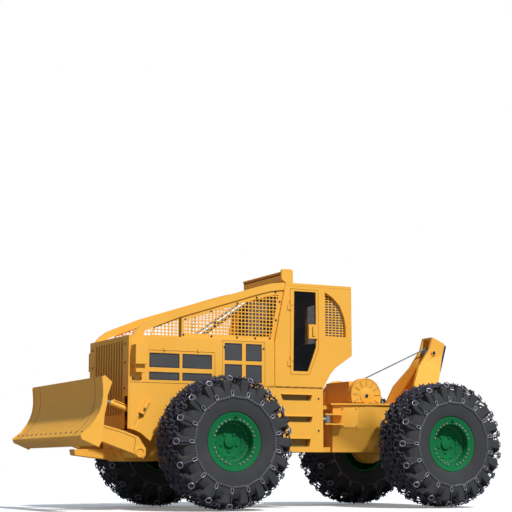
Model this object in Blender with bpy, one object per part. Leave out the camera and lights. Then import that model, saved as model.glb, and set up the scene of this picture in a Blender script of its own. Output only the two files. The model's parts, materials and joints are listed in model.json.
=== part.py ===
# Articulated cable skidder: metres, +X forward, +Y to the machine's left, +Z up.
# The origin is on the ground under the middle of the machine.
import math

import bmesh
import bpy
from mathutils import Matrix, Vector

# Running gear
WHEELBASE = 3.90
CHASSIS_HALF = 0.34
STEER_OUT = 0.11
TANK_GAP = 0.18
TANK_T = 0.205
STEER_Y = CHASSIS_HALF + STEER_OUT
TANK_IN = STEER_Y + TANK_GAP
BODY_HALF = TANK_IN + TANK_T
WHEEL_GAP = 0.0915
BLADE_TIP = (2.38, 0.96)
TYRE_R = 0.945
TYRE_WIDEST_R = TYRE_R - 0.205
TYRE_GROOVE_R = TYRE_R - 0.06
TYRE_W = 0.777
LUGS_A_SIDE = 15
LUG_SKEW_DEG = 9.0
RIM_R = 0.4375
RIM_W = 0.69
RIM_SIDES = 18
CHAIN_STRANDS = 16
CHAIN_R = TYRE_R + 0.0877
CHAIN_SIDE_R = TYRE_R - 0.29
CHAIN_BAR = 0.035
SEAT = 0.0003
TRACK = 2 * (BODY_HALF + WHEEL_GAP + CHAIN_BAR) + TYRE_W
HALF_STRAND = math.pi / CHAIN_STRANDS
AXLE_Z = CHAIN_R * math.cos(HALF_STRAND) + CHAIN_BAR / 2 * math.sin(HALF_STRAND)
REAR_X = -WHEELBASE
FRONT_AXLE_X = (WHEELBASE + AXLE_Z - BLADE_TIP[0]) / 2
AXLE_TUBE_R = 0.15
AXLE_BELL = ((0, 0.62), (0.16, 0.62), (0.27, 0.74), (0.30, 0.80), (0.30, 0.98), (0.23, 1.06), (0, 1.06))
RIM_HUB_IN = 0.05
RIM_BARREL_IN_R = 0.405

# Heights in the tables below start at a level this far under the axles.
AXLE_LEVEL = 0.89
BASE_Z = AXLE_Z - AXLE_LEVEL

# Front body, heights
ARCH_TOP = 1.50
SEAM = ARCH_TOP + 0.285
HOOD_H = 0.715
HOOD_TOP = SEAM + HOOD_H
CAB_H = 1.675
ROOF_TOP = SEAM + CAB_H
ROOF_T = 0.05
CAB_TOP = ROOF_TOP - ROOF_T
CAB_FLOOR = SEAM + 0.065
GRILLE_FOOT = 1.09
CORE_LOW = GRILLE_FOOT + 0.18
CORE_HIGH = HOOD_TOP - 0.04
KEEL = 0.61
CHASSIS_TOP = 1.18
TANK_LOW = 0.76

# Front body, lengths and half widths
PANEL = 0.03
HOOD_FRONT = 1.33
GRILLE_FACE = HOOD_FRONT + PANEL
CORE_HALF = BODY_HALF - 0.215
TANK_REAR = -2.01
CAB_HALF = BODY_HALF + 0.015
CAB_WALL = 0.05
CAB_FRONT = -1.13
ROOF_FRONT = -1.32
CAB_REAR = -2.55
WINDOW_EDGE = 0.15
WINDOW_Z = (CAB_TOP - 0.79, CAB_TOP - 0.13)

# Articulation
PIVOT_X = -2.15
PIN_R = 0.05
STEER_Z = 1.30
STEER_FRONT = (-0.90, STEER_Y)
STEER_REAR = (-2.28, STEER_Y + 0.05)
HITCH_HALF = CHASSIS_HALF - 0.06
STEER_BARREL_R = 0.055
STEER_ROD_R = 0.03
STEER_BARREL_L = 0.86
STEER_IN = 0.345

# Blade and its lift
BLADE_HALF = 1.60
BLADE_PIVOT = (1.17, 0.74)
LIFT_Y = BODY_HALF - 0.105
ARM_IN = LIFT_Y
ARM_OUT = BODY_HALF + 0.045
LIFT_REAR = (0.85, 1.22)
LIFT_FRONT = (1.88, 1.57)
LIFT_BARREL_R = 0.05
LIFT_ROD_R = 0.028
LIFT_BARREL_L = 0.80
LIFT_IN = 0.085

# Rear body
DECK_TOP = 1.57
DRUM_X = REAR_X + 0.87
DRUM_Z = DECK_TOP + 0.13
DRUM_R = 0.17
DRUM_FLANGE_R = 0.21
DRUM_HALF = 0.30
DRUM_PIN_R = 0.05
ARCH_HEAD_HALF = 0.162
ARCH_PLATE = 0.05
ROLLER = (REAR_X - 0.715, 2.50)
ROLLER_R = 0.08
LINE_R = 0.011
LINE_SIDES = 8
LINE_END = 0.16
SOCKET_R = 0.03
REAR_ROLLER_R = 0.03

# Pins, eyes and slots
PIN_SIDES = 12
ARM_BOSS_R = 0.085
ARM_PIN_R = 0.045
LIFT_PIN_R = 0.03
LIFT_EYE_HALF = 0.055
STEER_PIN_R = 0.03
STEER_EYE_HALF = 0.06
BORE_START = 0.12
SLOT_HALF = 0.08
SLOT_TOP = 1.58
LUG_R = 0.14
FRONT_LUGS = ((0.86, 0.94), (1.38, 1.46))
REAR_LUGS = ((0.77, 0.85), (1.47, 1.535))
CLEVIS = ((-0.09, -0.068), (0.068, 0.09))
EARS = ((-0.08, -0.063), (0.063, 0.08))

# Side views of the front body, as (x, z)
CHASSIS_SIDE = (
    (1.30, 1.05),
    (1.30, 0.72),
    (1.20, KEEL),
    (0.73, KEEL),
    (0.45, 0.66),
    (0.34, 1.00 + SEAT),
    (-0.34, 1.00 + SEAT),
    (-0.45, 0.70),
    (-1.90, TANK_LOW),
    (-1.90, CHASSIS_TOP),
    (0.90, CHASSIS_TOP),
)
NOSE_HALF = 0.11
NOSE_BLOCK = ((1.20, 0.80), (1.94, 0.79), (1.92, 0.70), (1.55, 0.655), (1.15, KEEL + 0.005))
NOSE_SIDE = (
    (HOOD_FRONT, SEAM),
    (HOOD_FRONT, GRILLE_FOOT),
    (1.24, 1.07),
    (1.15, 1.03),
    (1.07, 0.97),
    (0.99, 0.91),
    (0.92, 1.01),
    (0.79, ARCH_TOP - 0.33),
    (0.55, ARCH_TOP - 0.12),
    (0.20, ARCH_TOP),
    (-0.40, ARCH_TOP),
    (-0.70, ARCH_TOP - 0.12),
    (-1.05, 1.10),
    (-1.05, SEAM),
)
TANK_SIDE = (
    (-0.98, SEAM),
    (-0.98, 1.20),
    (-1.12, TANK_LOW),
    (TANK_REAR, TANK_LOW),
    (TANK_REAR, SEAM),
)

# Steps in the tank, as shares of the way from the lowest tread to the highest
STEP_DEPTH = 0.14
LOWEST_TREAD = TANK_LOW + 0.08
HIGHEST_TREAD = SEAM - 0.215
STEPS = ((0.0, -1.34, -1.75, 0.13), (0.53, -1.29, -1.79, 0.10), (1.0, -1.27, -1.78, 0.10))
STEP_FLARE = 0.03

# Sunk screens on the hood's sides, as (x0, x1, z0, z1)
SCREENS = (
    (0.52, 1.02, SEAM + 0.235, SEAM + 0.455),
    (-0.03, 0.47, SEAM + 0.235, SEAM + 0.455),
    (0.52, 1.02, SEAM + 0.045, SEAM + 0.165),
    (-0.03, 0.47, SEAM + 0.045, SEAM + 0.165),
    (-0.55, -0.25, SEAM + 0.385, HOOD_TOP - 0.06),
    (-0.90, -0.62, SEAM + 0.385, HOOD_TOP - 0.06),
    (-0.55, -0.25, SEAM + 0.045, SEAM + 0.325),
    (-0.90, -0.62, SEAM + 0.045, SEAM + 0.325),
)
SCREEN_SINK = 0.012
CORE_COLUMNS = 10
CORE_ROWS = 4
CORE_OPEN = (0.22, 0.42)

# Side views of the cab, as (x, z)
CAB_SIDE = (
    (CAB_FRONT, SEAM + SEAT),
    (CAB_FRONT, HOOD_TOP + 0.01),
    (ROOF_FRONT, CAB_TOP),
    (CAB_REAR, CAB_TOP),
    (CAB_REAR, SEAM + 0.535),
    (CAB_REAR + 0.30, SEAM + 0.335),
    (CAB_REAR + 0.40, SEAM + 0.235),
    (TANK_REAR, SEAM + SEAT),
)
CAB_INSIDE = (
    (CAB_FRONT - CAB_WALL, CAB_FLOOR),
    (CAB_FRONT - CAB_WALL, HOOD_TOP + 0.01),
    (ROOF_FRONT - CAB_WALL, CAB_TOP),
    (ROOF_FRONT - CAB_WALL, CAB_TOP + 0.1),
    (CAB_REAR + CAB_WALL, CAB_TOP + 0.1),
    (CAB_REAR + CAB_WALL, SEAM + 0.565),
    (CAB_REAR + 0.33, SEAM + 0.385),
    (CAB_REAR + 0.44, SEAM + 0.275),
    (TANK_REAR + 0.01, CAB_FLOOR),
)
ROOF_SIDE = (
    (ROOF_FRONT, CAB_TOP + SEAT),
    (ROOF_FRONT, ROOF_TOP),
    (CAB_REAR, ROOF_TOP),
    (CAB_REAR, CAB_TOP + SEAT),
)
VISOR_SIDE = (
    (ROOF_FRONT - 0.005, ROOF_TOP + SEAT),
    (ROOF_FRONT + 0.025, ROOF_TOP + 0.03),
    (ROOF_FRONT + 0.025, ROOF_TOP + 0.185),
    (ROOF_FRONT - 0.12, ROOF_TOP + 0.185),
    (ROOF_FRONT - 0.12, ROOF_TOP + SEAT),
)
VISOR_END = (
    (ROOF_FRONT - 0.005, ROOF_TOP + SEAT),
    (ROOF_FRONT + 0.07, ROOF_TOP + 0.05),
    (ROOF_FRONT + 0.07, ROOF_TOP + 0.195),
    (ROOF_FRONT + 0.05, ROOF_TOP + 0.215),
    (ROOF_FRONT - 0.11, ROOF_TOP + 0.22),
    (ROOF_FRONT - 0.14, ROOF_TOP + 0.19),
    (ROOF_FRONT - 0.14, ROOF_TOP + SEAT),
)
VISOR_RIGHT = CAB_HALF - 0.25
VISOR_END_T = 0.04

# The door, as (x, z, way out in x, way out in z)
DOOR_GAP = 0.006
DOOR_FRONT = -1.41
DOOR_REAR = -1.92
DOOR_LOW = SEAM + 0.205
DOOR_HIGH = CAB_TOP - 0.05
DOOR_CORNER = SEAM + 0.625
DOOR_AXIS_X = DOOR_FRONT + 0.005
HINGE_R = 0.014
HINGE_L = 0.16
HINGES = (SEAM + 0.415, CAB_TOP - 0.31)
LATCH = (SEAM + 0.785, SEAM + 1.015)
DOOR = (
    (DOOR_FRONT, DOOR_LOW, 1, -1),
    (DOOR_FRONT, DOOR_HIGH, 1, 1),
    (DOOR_REAR, DOOR_HIGH, -1, 1),
    (DOOR_REAR, DOOR_CORNER, -1, -0.25),
    (DOOR_REAR + 0.17, DOOR_LOW, -0.5, -1),
)
DOOR_WINDOW = (
    (DOOR_FRONT - 0.05, DOOR_LOW + 0.05),
    (DOOR_FRONT - 0.07, DOOR_HIGH - 0.03),
    (DOOR_REAR + 0.04, DOOR_HIGH - 0.03),
    (DOOR_REAR + 0.04, DOOR_CORNER + 0.03),
    (DOOR_REAR + 0.19, DOOR_LOW + 0.05),
)
QUARTER = (
    (CAB_REAR + 0.50, CAB_TOP - 0.78),
    (CAB_REAR + 0.50, CAB_TOP - 0.07),
    (CAB_REAR + 0.35, CAB_TOP - 0.15),
    (CAB_REAR + 0.22, CAB_TOP - 0.28),
    (CAB_REAR + 0.14, CAB_TOP - 0.46),
    (CAB_REAR + 0.11, CAB_TOP - 0.62),
    (CAB_REAR + 0.11, CAB_TOP - 0.79),
)

# The sloping guard's top edge, as (x, share of the rise from hood to roof)
GUARD_RISE = (
    (1.254, 0.064),
    (1.199, 0.124),
    (1.093, 0.203),
    (0.95, 0.268),
    (0.51, 0.452),
    (-0.38, 0.75),
    (-0.86, 0.906),
    (-1.08, 0.969),
)
BEAM_FRONT = 1.30
BEAM_DEPTH = 0.12
BEAM_W = 0.08
BEAM_BAR_R = 0.03
BEAM_BARS = (-0.50, -1.24)
MESH_FRONT = 1.00
MESH_EDGE = 0.05
MESH_PANELS = ((0.94, 0.52), (0.44, -1.22))
MESH_PITCH = 0.16
MESH_BAR = 0.035
MESH_T = 0.02
LAMP_OUT = BODY_HALF + 0.18
LAMP_X = (1.12, 1.316)
LAMP_Z = (SEAM + 0.265, SEAM + 0.565)
LAMP_SINK = 0.04
LAMP_RIM = 0.022
LENS_R = 0.058
EXHAUST_R = 0.062
ENGINE_X = (-0.72, 0.77)
ENGINE_HALF = 0.36
ENGINE_TOP = HOOD_TOP - 0.40

# The mesh sheet inside the cab's rear side windows, as (x0, x1, z0, z1)
QUARTER_T = 0.012
QUARTER_SHEET = (CAB_REAR + 0.07, CAB_REAR + 0.54, CAB_TOP - 0.83, CAB_TOP - 0.03)
QUARTER_COLUMNS = 3
QUARTER_ROWS = 6

# A slanted pin holder on each nose plate, as (x, z) of its two ends
HOLDER = ((1.045, 1.50), (1.145, 1.31))
HOLDER_R = 0.05

# Side views of the blade, as (x, z)
BOARD_FRONT = (
    (2.056, 1.81),
    (2.040, 1.65),
    (2.037, 1.52),
    (2.052, 1.41),
    (2.088, 1.30),
    (2.145, 1.20),
    (2.236, 1.08),
)
BOARD_SIDE = BOARD_FRONT + (
    BLADE_TIP,
    (2.36, 0.92),
    (2.12, 0.82),
    (2.05, 0.90),
    (2.02, 1.25),
    (1.98, 1.45),
    (1.98, 1.62),
    (2.00, 1.81),
)
END_PROUD = 0.012
END_SIDE = tuple((x + END_PROUD, z) for x, z in BOARD_FRONT[1:]) + (
    (BLADE_TIP[0], BLADE_TIP[1] + 0.02),
    (2.36, 0.91),
    (2.10, 0.80),
    (2.06, 0.88),
    (2.06, 1.21),
    (2.04, 1.33),
    (1.97, 1.56),
    (1.91, 1.73),
    (2.03, 1.82),
    (2.068, 1.80),
)
END_T = 0.03
ARM_SIDE = (
    (1.08, 0.70),
    (1.08, 0.80),
    (1.20, 0.97),
    (1.44, 1.06),
    (2.08, 1.22),
    (2.10, 1.00),
    (1.79, 0.90),
    (1.27, 0.72),
    (1.20, 0.67),
    (1.12, 0.65),
)

# The rear frame, as (x, half width at the top, half width at the keel)
FRAME_TOP = DECK_TOP - 0.03
FRAME_MID = 1.16
FRAME_KEEL = 0.77
FRAME_WIDE = STEER_Y + 0.17
REAR_STATIONS = (
    (PIVOT_X - 0.32, CHASSIS_HALF + 0.01, CHASSIS_HALF - 0.01),
    (PIVOT_X - 0.90, FRAME_WIDE, FRAME_WIDE - 0.22),
    (REAR_X + 0.40, FRAME_WIDE, FRAME_WIDE - 0.22),
    (REAR_X - 0.95, FRAME_WIDE - 0.07, FRAME_WIDE - 0.26),
)
DRUM_WELL = 0.235
DRUM_WELL_HALF = DRUM_HALF + 0.03
CASE_FRONT = DRUM_X + 0.26
CASE_REAR = DRUM_X - 0.22
CASE_TOP = DECK_TOP + 0.37
CASE_HALF = DRUM_HALF + 0.073
COVER_R = 0.295
COVER_OUT = 0.50
BUTT_X = REAR_X - 1.00
BUTT_HALF = 0.60

# The arch's legs, as (front x, front z), (rear x, rear z) from the head down
ARCH_KNEE = 2.25
ARCH_SPLAY = 0.57
ARCH_ROWS = (
    ((REAR_X - 0.71, 2.775), (REAR_X - 0.962, 2.668)),
    ((REAR_X - 0.645, 2.565), (REAR_X - 0.915, 2.50)),
    ((REAR_X - 0.42, ARCH_KNEE), (REAR_X - 0.812, 2.137)),
    ((REAR_X - 0.20, 1.93), (REAR_X - 0.70, 1.95)),
    ((REAR_X - 0.12, FRAME_TOP + SEAT), (REAR_X - 0.68, FRAME_TOP + SEAT)),
)
ARCH_LID_T = 0.03
ARCH_WEB = ((REAR_X - 0.42, 1.62), (REAR_X - 0.68, 2.30))
REAR_BARS = ((REAR_X - 0.825, 2.17), (REAR_X - 0.955, 2.63))

LEFT, RIGHT = 1, -1
SIDES = (("left", LEFT), ("right", RIGHT))


def at(x, z, y=0.0):
    """A point from the tables: x from the front axle, z above the tables' level."""
    return Vector((FRONT_AXLE_X + x, y, BASE_Z + z))


def material(name, colour, rough, metal):
    mat = bpy.data.materials.new(name)
    mat.use_nodes = True
    shader = mat.node_tree.nodes["Principled BSDF"]
    shader.inputs["Base Color"].default_value = (*colour, 1)
    shader.inputs["Roughness"].default_value = rough
    shader.inputs["Metallic"].default_value = metal
    mat.diffuse_color = (*colour, 1)
    return mat


def beam_top(x):
    """The height of the sloping guard's top edge at this place along the machine."""
    points = [(BEAM_FRONT, 0.0)] + list(GUARD_RISE) + [(cab_front_x(ROOF_TOP), 1.0)]
    for (x0, s0), (x1, s1) in zip(points, points[1:]):
        if x >= x1:
            break
    share = s0 + (s1 - s0) * (x - x0) / (x1 - x0)
    return HOOD_TOP + share * (ROOF_TOP - HOOD_TOP)


def cab_front_x(z):
    """How far back the sloping cab front lies at this height."""
    (x0, z0), (x1, z1) = CAB_SIDE[1:3]
    return x0 + (x1 - x0) * min(max((z - z0) / (z1 - z0), 0), 1)


def prism(outline, low, high):
    """A side view outline of (x, z) pairs, extruded across the machine."""
    bm = bmesh.new()
    face = bm.faces.new([bm.verts.new(at(x, z, low)) for x, z in outline])
    made = bmesh.ops.extrude_face_region(bm, geom=[face])["geom"]
    verts = [v for v in made if isinstance(v, bmesh.types.BMVert)]
    bmesh.ops.translate(bm, verts=verts, vec=(0, high - low, 0))
    bmesh.ops.recalc_face_normals(bm, faces=bm.faces)
    return bm


def plan(outline, low, high):
    """A top view outline of (x, y) pairs, extruded upwards between two heights."""
    bm = bmesh.new()
    face = bm.faces.new([bm.verts.new(at(x, low, y)) for x, y in outline])
    made = bmesh.ops.extrude_face_region(bm, geom=[face])["geom"]
    verts = [v for v in made if isinstance(v, bmesh.types.BMVert)]
    bmesh.ops.translate(bm, verts=verts, vec=(0, 0, high - low))
    bmesh.ops.recalc_face_normals(bm, faces=bm.faces)
    return bm


def box(x0, x1, y0, y1, z0, z1):
    bm = bmesh.new()
    size = Vector((x1 - x0, y1 - y0, z1 - z0))
    middle = at((x0 + x1) / 2, (z0 + z1) / 2, (y0 + y1) / 2)
    matrix = Matrix.Translation(middle) @ Matrix.Diagonal((*size, 1))
    bmesh.ops.create_cube(bm, size=1, matrix=matrix)
    return bm


def rod(start, end, radius, segments=PIN_SIDES, phase=0.0):
    """A round bar from one point to another, turned by a share of one facet."""
    bm = bmesh.new()
    along = end - start
    turn = along.to_track_quat("Z", "Y").to_matrix().to_4x4()
    turn = turn @ Matrix.Rotation(2 * math.pi * phase / segments, 4, "Z")
    matrix = Matrix.Translation((start + end) / 2) @ turn
    bmesh.ops.create_cone(
        bm,
        cap_ends=True,
        segments=segments,
        radius1=radius,
        radius2=radius,
        depth=along.length,
        matrix=matrix,
    )
    return bm


def turned(profile, segments, centre, side=LEFT):
    """A closed (radius, offset) profile turned about an axis along Y."""
    bm = bmesh.new()
    rings = []
    for radius, offset in profile:
        if radius == 0:
            rings.append([bm.verts.new(centre + Vector((0, side * offset, 0)))])
            continue
        ring = []
        for k in range(segments):
            angle = 2 * math.pi * (k + 0.5) / segments
            spoke = Vector((radius * math.cos(angle), side * offset, radius * math.sin(angle)))
            ring.append(bm.verts.new(centre + spoke))
        rings.append(ring)
    for a, b in zip(rings, rings[1:] + rings[:1]):
        if len(a) == 1 and len(b) == 1:
            continue
        for k in range(segments):
            n = (k + 1) % segments
            corners = [a[0]] if len(a) == 1 else [a[k], a[n]]
            corners += [b[0]] if len(b) == 1 else [b[n], b[k]]
            bm.faces.new(corners)
    bmesh.ops.recalc_face_normals(bm, faces=bm.faces)
    return bm


def joined(*shapes):
    """Several shapes that don't touch, in one mesh, for use as one cutter."""
    whole = shapes[0]
    for shape in shapes[1:]:
        mesh = bpy.data.meshes.new("joined")
        shape.to_mesh(mesh)
        shape.free()
        whole.from_mesh(mesh)
        bpy.data.meshes.remove(mesh)
    return whole


def make(name, bm, mat, origin=(0, 0, 0), smooth=False):
    """An object of this mesh with its own origin."""
    origin = Vector(origin)
    bmesh.ops.translate(bm, verts=bm.verts, vec=-origin)
    mesh = bpy.data.meshes.new(name)
    bm.to_mesh(mesh)
    bm.free()
    if smooth:
        mesh.shade_smooth()
        mesh.set_sharp_from_angle(angle=math.radians(35))
    obj = bpy.data.objects.new(name, mesh)
    obj.location = origin
    if mat:
        mesh.materials.append(mat)
    bpy.context.scene.collection.objects.link(obj)
    return obj


def helper(name, bm):
    obj = make(name, bm, None)
    obj.hide_render = True
    obj.display_type = "WIRE"
    return obj


def boolean(obj, kind, shapes):
    for number, shape in enumerate(shapes):
        other = helper(f"{obj.name}_{kind.lower()}_{number}", shape)
        step = obj.modifiers.new(other.name, "BOOLEAN")
        step.operation = kind
        step.solver = "EXACT"
        step.object = other


def add(obj, *shapes):
    boolean(obj, "UNION", shapes)


def cut(obj, *shapes):
    boolean(obj, "DIFFERENCE", shapes)


def wheel_centre(x, side):
    return at(x, AXLE_LEVEL, side * TRACK / 2)


def lugged_tyre(name, x, side, mat):
    centre = wheel_centre(x, side)
    half = TYRE_W / 2
    skew = math.radians(LUG_SKEW_DEG)
    stations = 2 * LUGS_A_SIDE
    bead = RIM_R / math.cos(math.pi / stations)
    rows = (
        (bead, RIM_W / 2, 0),
        (TYRE_WIDEST_R, half, 0),
        (TYRE_GROOVE_R, 0, skew),
        (TYRE_WIDEST_R, -half, 0),
        (bead, -RIM_W / 2, 0),
    )
    bm = bmesh.new()

    def point(radius, offset, angle):
        spoke = Vector((radius * math.cos(angle), offset, radius * math.sin(angle)))
        return bm.verts.new(centre + spoke)

    angles = [2 * math.pi * k / stations for k in range(stations)]
    grid = [[point(r, y, a + turn) for a in angles] for r, y, turn in rows]
    for row, (a, b) in enumerate(zip(grid, grid[1:] + grid[:1])):
        for k in range(stations):
            n = (k + 1) % stations
            corners = (a[k], a[n], b[n], b[k])
            if row not in (1, 2) or k % 2 != row - 1:
                bm.faces.new(corners)
                continue
            outer = 1 if row == 1 else -1
            here, there = angles[k], angles[k] + angles[1]
            inset = angles[1] * 0.12
            shoulder = [point(TYRE_R, outer * (half - 0.015), t) for t in (here + inset, there - inset)]
            middle = [point(TYRE_R, outer * 0.03, t + skew * 0.9) for t in (here + inset, there - inset)]
            if row == 1:
                top = (shoulder[0], shoulder[1], middle[1], middle[0])
            else:
                top = (middle[0], middle[1], shoulder[1], shoulder[0])
            bm.faces.new(top)
            for i in range(4):
                j = (i + 1) % 4
                bm.faces.new((corners[i], corners[j], top[j], top[i]))
    bmesh.ops.recalc_face_normals(bm, faces=bm.faces)
    return make(name, bm, mat, centre)


def chain(name, x, side, mat):
    """U-shaped strands over the tread, held by a ring of bars on each sidewall."""
    centre = wheel_centre(x, side)
    low = TYRE_W / 2 + SEAT
    out = low + CHAIN_BAR
    foot = CHAIN_SIDE_R + CHAIN_BAR
    seat_r = TYRE_R + SEAT
    half_side = (
        (CHAIN_R, 0.34),
        (seat_r + 0.01, out),
        (foot, out),
        (CHAIN_SIDE_R, out),
        (CHAIN_SIDE_R, low),
        (foot, low),
        (seat_r, low),
    )
    outline = list(half_side) + [(r, -y) for r, y in reversed(half_side)]
    count = len(outline)
    feet = ((2, 3, 4, 5), (count - 6, count - 5, count - 4, count - 3))
    bm = bmesh.new()
    ends = []
    for k in range(CHAIN_STRANDS):
        angle = 2 * math.pi * (k + 0.5) / CHAIN_STRANDS - math.pi / 2
        along = Vector((math.cos(angle), 0, math.sin(angle)))
        across = Vector((-math.sin(angle), 0, math.cos(angle))) * CHAIN_BAR / 2
        faces = []
        for way in (-1, 1):
            faces.append(
                [bm.verts.new(centre + along * r + across * way + Vector((0, y, 0))) for r, y in outline]
            )
        for i in range(count):
            j = (i + 1) % count
            bm.faces.new((faces[0][i], faces[0][j], faces[1][j], faces[1][i]))
        for row in faces:
            web = [row[i] for i in (0, 1, 2, 5, 6, count - 7, count - 6, count - 3, count - 2, count - 1)]
            bm.faces.new(web)
        ends.append(faces)
    for k in range(CHAIN_STRANDS):
        here, there = ends[k][1], ends[(k + 1) % CHAIN_STRANDS][0]
        for foot_corners in feet:
            for i in range(4):
                a, b = foot_corners[i], foot_corners[(i + 1) % 4]
                bm.faces.new((here[a], here[b], there[b], there[a]))
    bmesh.ops.recalc_face_normals(bm, faces=bm.faces)
    return make(name, bm, mat, centre)


RIM_PROFILE = (
    (0, 0.20),
    (0.083, 0.20),
    (0.083, 0.175),
    (0.19, 0.175),
    (0.20, 0.15),
    (0.295, 0.15),
    (0.315, 0.345),
    (RIM_R - SEAT, 0.345),
    (RIM_R - SEAT, -0.345),
    (RIM_BARREL_IN_R, -0.345),
    (RIM_BARREL_IN_R, 0.10),
    (0.17, 0.10),
    (0.17, -RIM_HUB_IN),
    (0, -RIM_HUB_IN),
)


def rim(name, x, side, mat):
    centre = wheel_centre(x, side)
    return make(name, turned(RIM_PROFILE, RIM_SIDES, centre, side), mat, centre, smooth=True)


def wheels(mats):
    for row, x in (("front", 0.0), ("rear", -WHEELBASE)):
        for word, side in SIDES:
            lugged_tyre(f"{row}_{word}_tyre", x, side, mats["rubber"])
            chain(f"{row}_{word}_chain", x, side, mats["chain"])
            rim(f"{row}_{word}_rim", x, side, mats["green"])


def axle(name, x, mat, foot):
    """A banjo housing that reaches both hubs, with its pad under the frame."""
    end = TRACK / 2 - RIM_HUB_IN - SEAT
    tube = rod(at(x, AXLE_LEVEL, -end), at(x, AXLE_LEVEL, end), AXLE_TUBE_R, 16)
    obj = make(name, tube, mat, smooth=True)
    ball = turned(
        ((0, -0.30), (0.18, -0.26), (0.26, -0.10), (0.26, 0.10), (0.18, 0.26), (0, 0.30)),
        16,
        at(x, AXLE_LEVEL),
    )
    add(obj, ball)
    for word, side in SIDES:
        add(obj, turned(AXLE_BELL, 16, at(x, AXLE_LEVEL), side))
    cut(obj, box(x - 0.4, x + 0.4, -0.66, 0.66, foot - SEAT, foot + 0.6))
    return obj


def hole_r(pin_r, segments=PIN_SIDES):
    """The radius of a faceted hole that a faceted pin of this radius turns in."""
    return (pin_r + SEAT) / math.cos(math.pi / segments)


def cross_pin(x, z, y0, y1, radius, segments=PIN_SIDES, phase=0.0):
    return rod(at(x, z, y0), at(x, z, y1), radius, segments, phase)


def upright(x, y, z0, z1, radius, segments=PIN_SIDES, phase=0.0):
    return rod(at(x, z0, y), at(x, z1, y), radius, segments, phase)


def hitch_plate(start, half, low, high):
    """A plate that narrows to a round end about the articulation pin."""
    way = -1 if start > PIVOT_X else 1
    outline = [(start, -half * way), (start, half * way)]
    for k in range(9):
        angle = math.pi / 2 - math.pi * k / 8
        x = PIVOT_X + way * LUG_R * math.cos(angle)
        outline.append((x, way * LUG_R * math.sin(angle)))
    return plan(outline, low, high)


def front_frame(mat):
    """The chassis with its cross tubes for blade and cylinders and its hitch lugs."""
    obj = make("front_frame", prism(CHASSIS_SIDE, -CHASSIS_HALF, CHASSIS_HALF), mat)
    x, z = BLADE_PIVOT
    add(obj, cross_pin(x, z, -ARM_IN + SEAT, ARM_IN - SEAT, ARM_BOSS_R))
    add(obj, cross_pin(x, z, -ARM_OUT, ARM_OUT, ARM_PIN_R))
    add(obj, prism(NOSE_BLOCK, -NOSE_HALF, NOSE_HALF))
    x, z = LIFT_REAR
    reach = LIFT_Y + LIFT_EYE_HALF + 0.02
    half = LIFT_Y - LIFT_EYE_HALF - SEAT
    add(obj, box(x - 0.06, x + 0.06, -half, half, 1.10, z + 0.06))
    add(obj, cross_pin(x, z, -reach, reach, LIFT_PIN_R))
    for low, high in FRONT_LUGS:
        add(obj, hitch_plate(-1.80, HITCH_HALF, low, high))
    add(obj, box(-1.90, -1.74, -HITCH_HALF, HITCH_HALF, 1.10, FRONT_LUGS[1][1]))
    for low, high in FRONT_LUGS:
        cut(obj, upright(PIVOT_X, 0, low - 0.1, high + 0.1, hole_r(PIN_R)))
    sx, sy = STEER_FRONT
    add(obj, box(sx - 0.10, sx + 0.16, -sy - 0.07, sy + 0.07, 1.08, STEER_Z - STEER_EYE_HALF - SEAT))
    for side in (LEFT, RIGHT):
        add(obj, upright(sx, side * sy, 1.15, STEER_Z + STEER_EYE_HALF, STEER_PIN_R))
    tank = TANK_IN - SEAT
    add(obj, box(-1.16, -1.02, -tank, tank, 0.80, 1.06))
    add(obj, box(-1.80, -1.70, -tank, tank, 0.80, 1.06))
    return obj


def side_plate(name, side, mat):
    """The lower side: a nose plate over the wheel and the tank with its steps."""
    y0, y1 = sorted((side * (BODY_HALF - PANEL), side * BODY_HALF))
    t0, t1 = sorted((side * TANK_IN, side * BODY_HALF))
    obj = make(name, prism(NOSE_SIDE, y0, y1), mat)
    add(obj, prism(TANK_SIDE, t0, t1))
    s0, s1 = sorted((side * (BODY_HALF - STEP_DEPTH), side * (BODY_HALF + 0.1)))
    treads = []
    for share, front, rear, high in STEPS:
        low = LOWEST_TREAD + share * (HIGHEST_TREAD - LOWEST_TREAD)
        opening = (
            (front + STEP_FLARE, low + high),
            (rear - STEP_FLARE, low + high),
            (rear, low),
            (front, low),
        )
        treads.append(prism(opening, s0, s1))
    cut(obj, joined(*treads))
    low, high = HOLDER[1], HOLDER[0]
    y = side * (BODY_HALF + 0.005)
    add(obj, rod(at(*low, y), at(*high, y), HOLDER_R))
    foot, head = at(*low, y + side * 0.012), at(*high, y + side * 0.012)
    cut(obj, rod(2 * foot - head, (foot + head) / 2, HOLDER_R * 0.6))
    return obj


def hood(mat):
    """Top and both sides in one bent shell, with sunk panes for the side screens."""
    rear = CAB_FRONT + SEAT
    outer = box(rear, HOOD_FRONT, -BODY_HALF, BODY_HALF, SEAM + SEAT, HOOD_TOP)
    obj = make("hood", outer, mat)
    inner = BODY_HALF - PANEL
    cut(obj, box(rear - 0.1, HOOD_FRONT + 0.1, -inner, inner, SEAM - 0.1, HOOD_TOP - PANEL))
    for word, side in SIDES:
        y0, y1 = sorted((side * (BODY_HALF - SCREEN_SINK), side * (BODY_HALF + 0.1)))
        cut(obj, joined(*[box(x0, x1, y0, y1, z0, z1) for x0, x1, z0, z1 in SCREENS]))
    return obj


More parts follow.
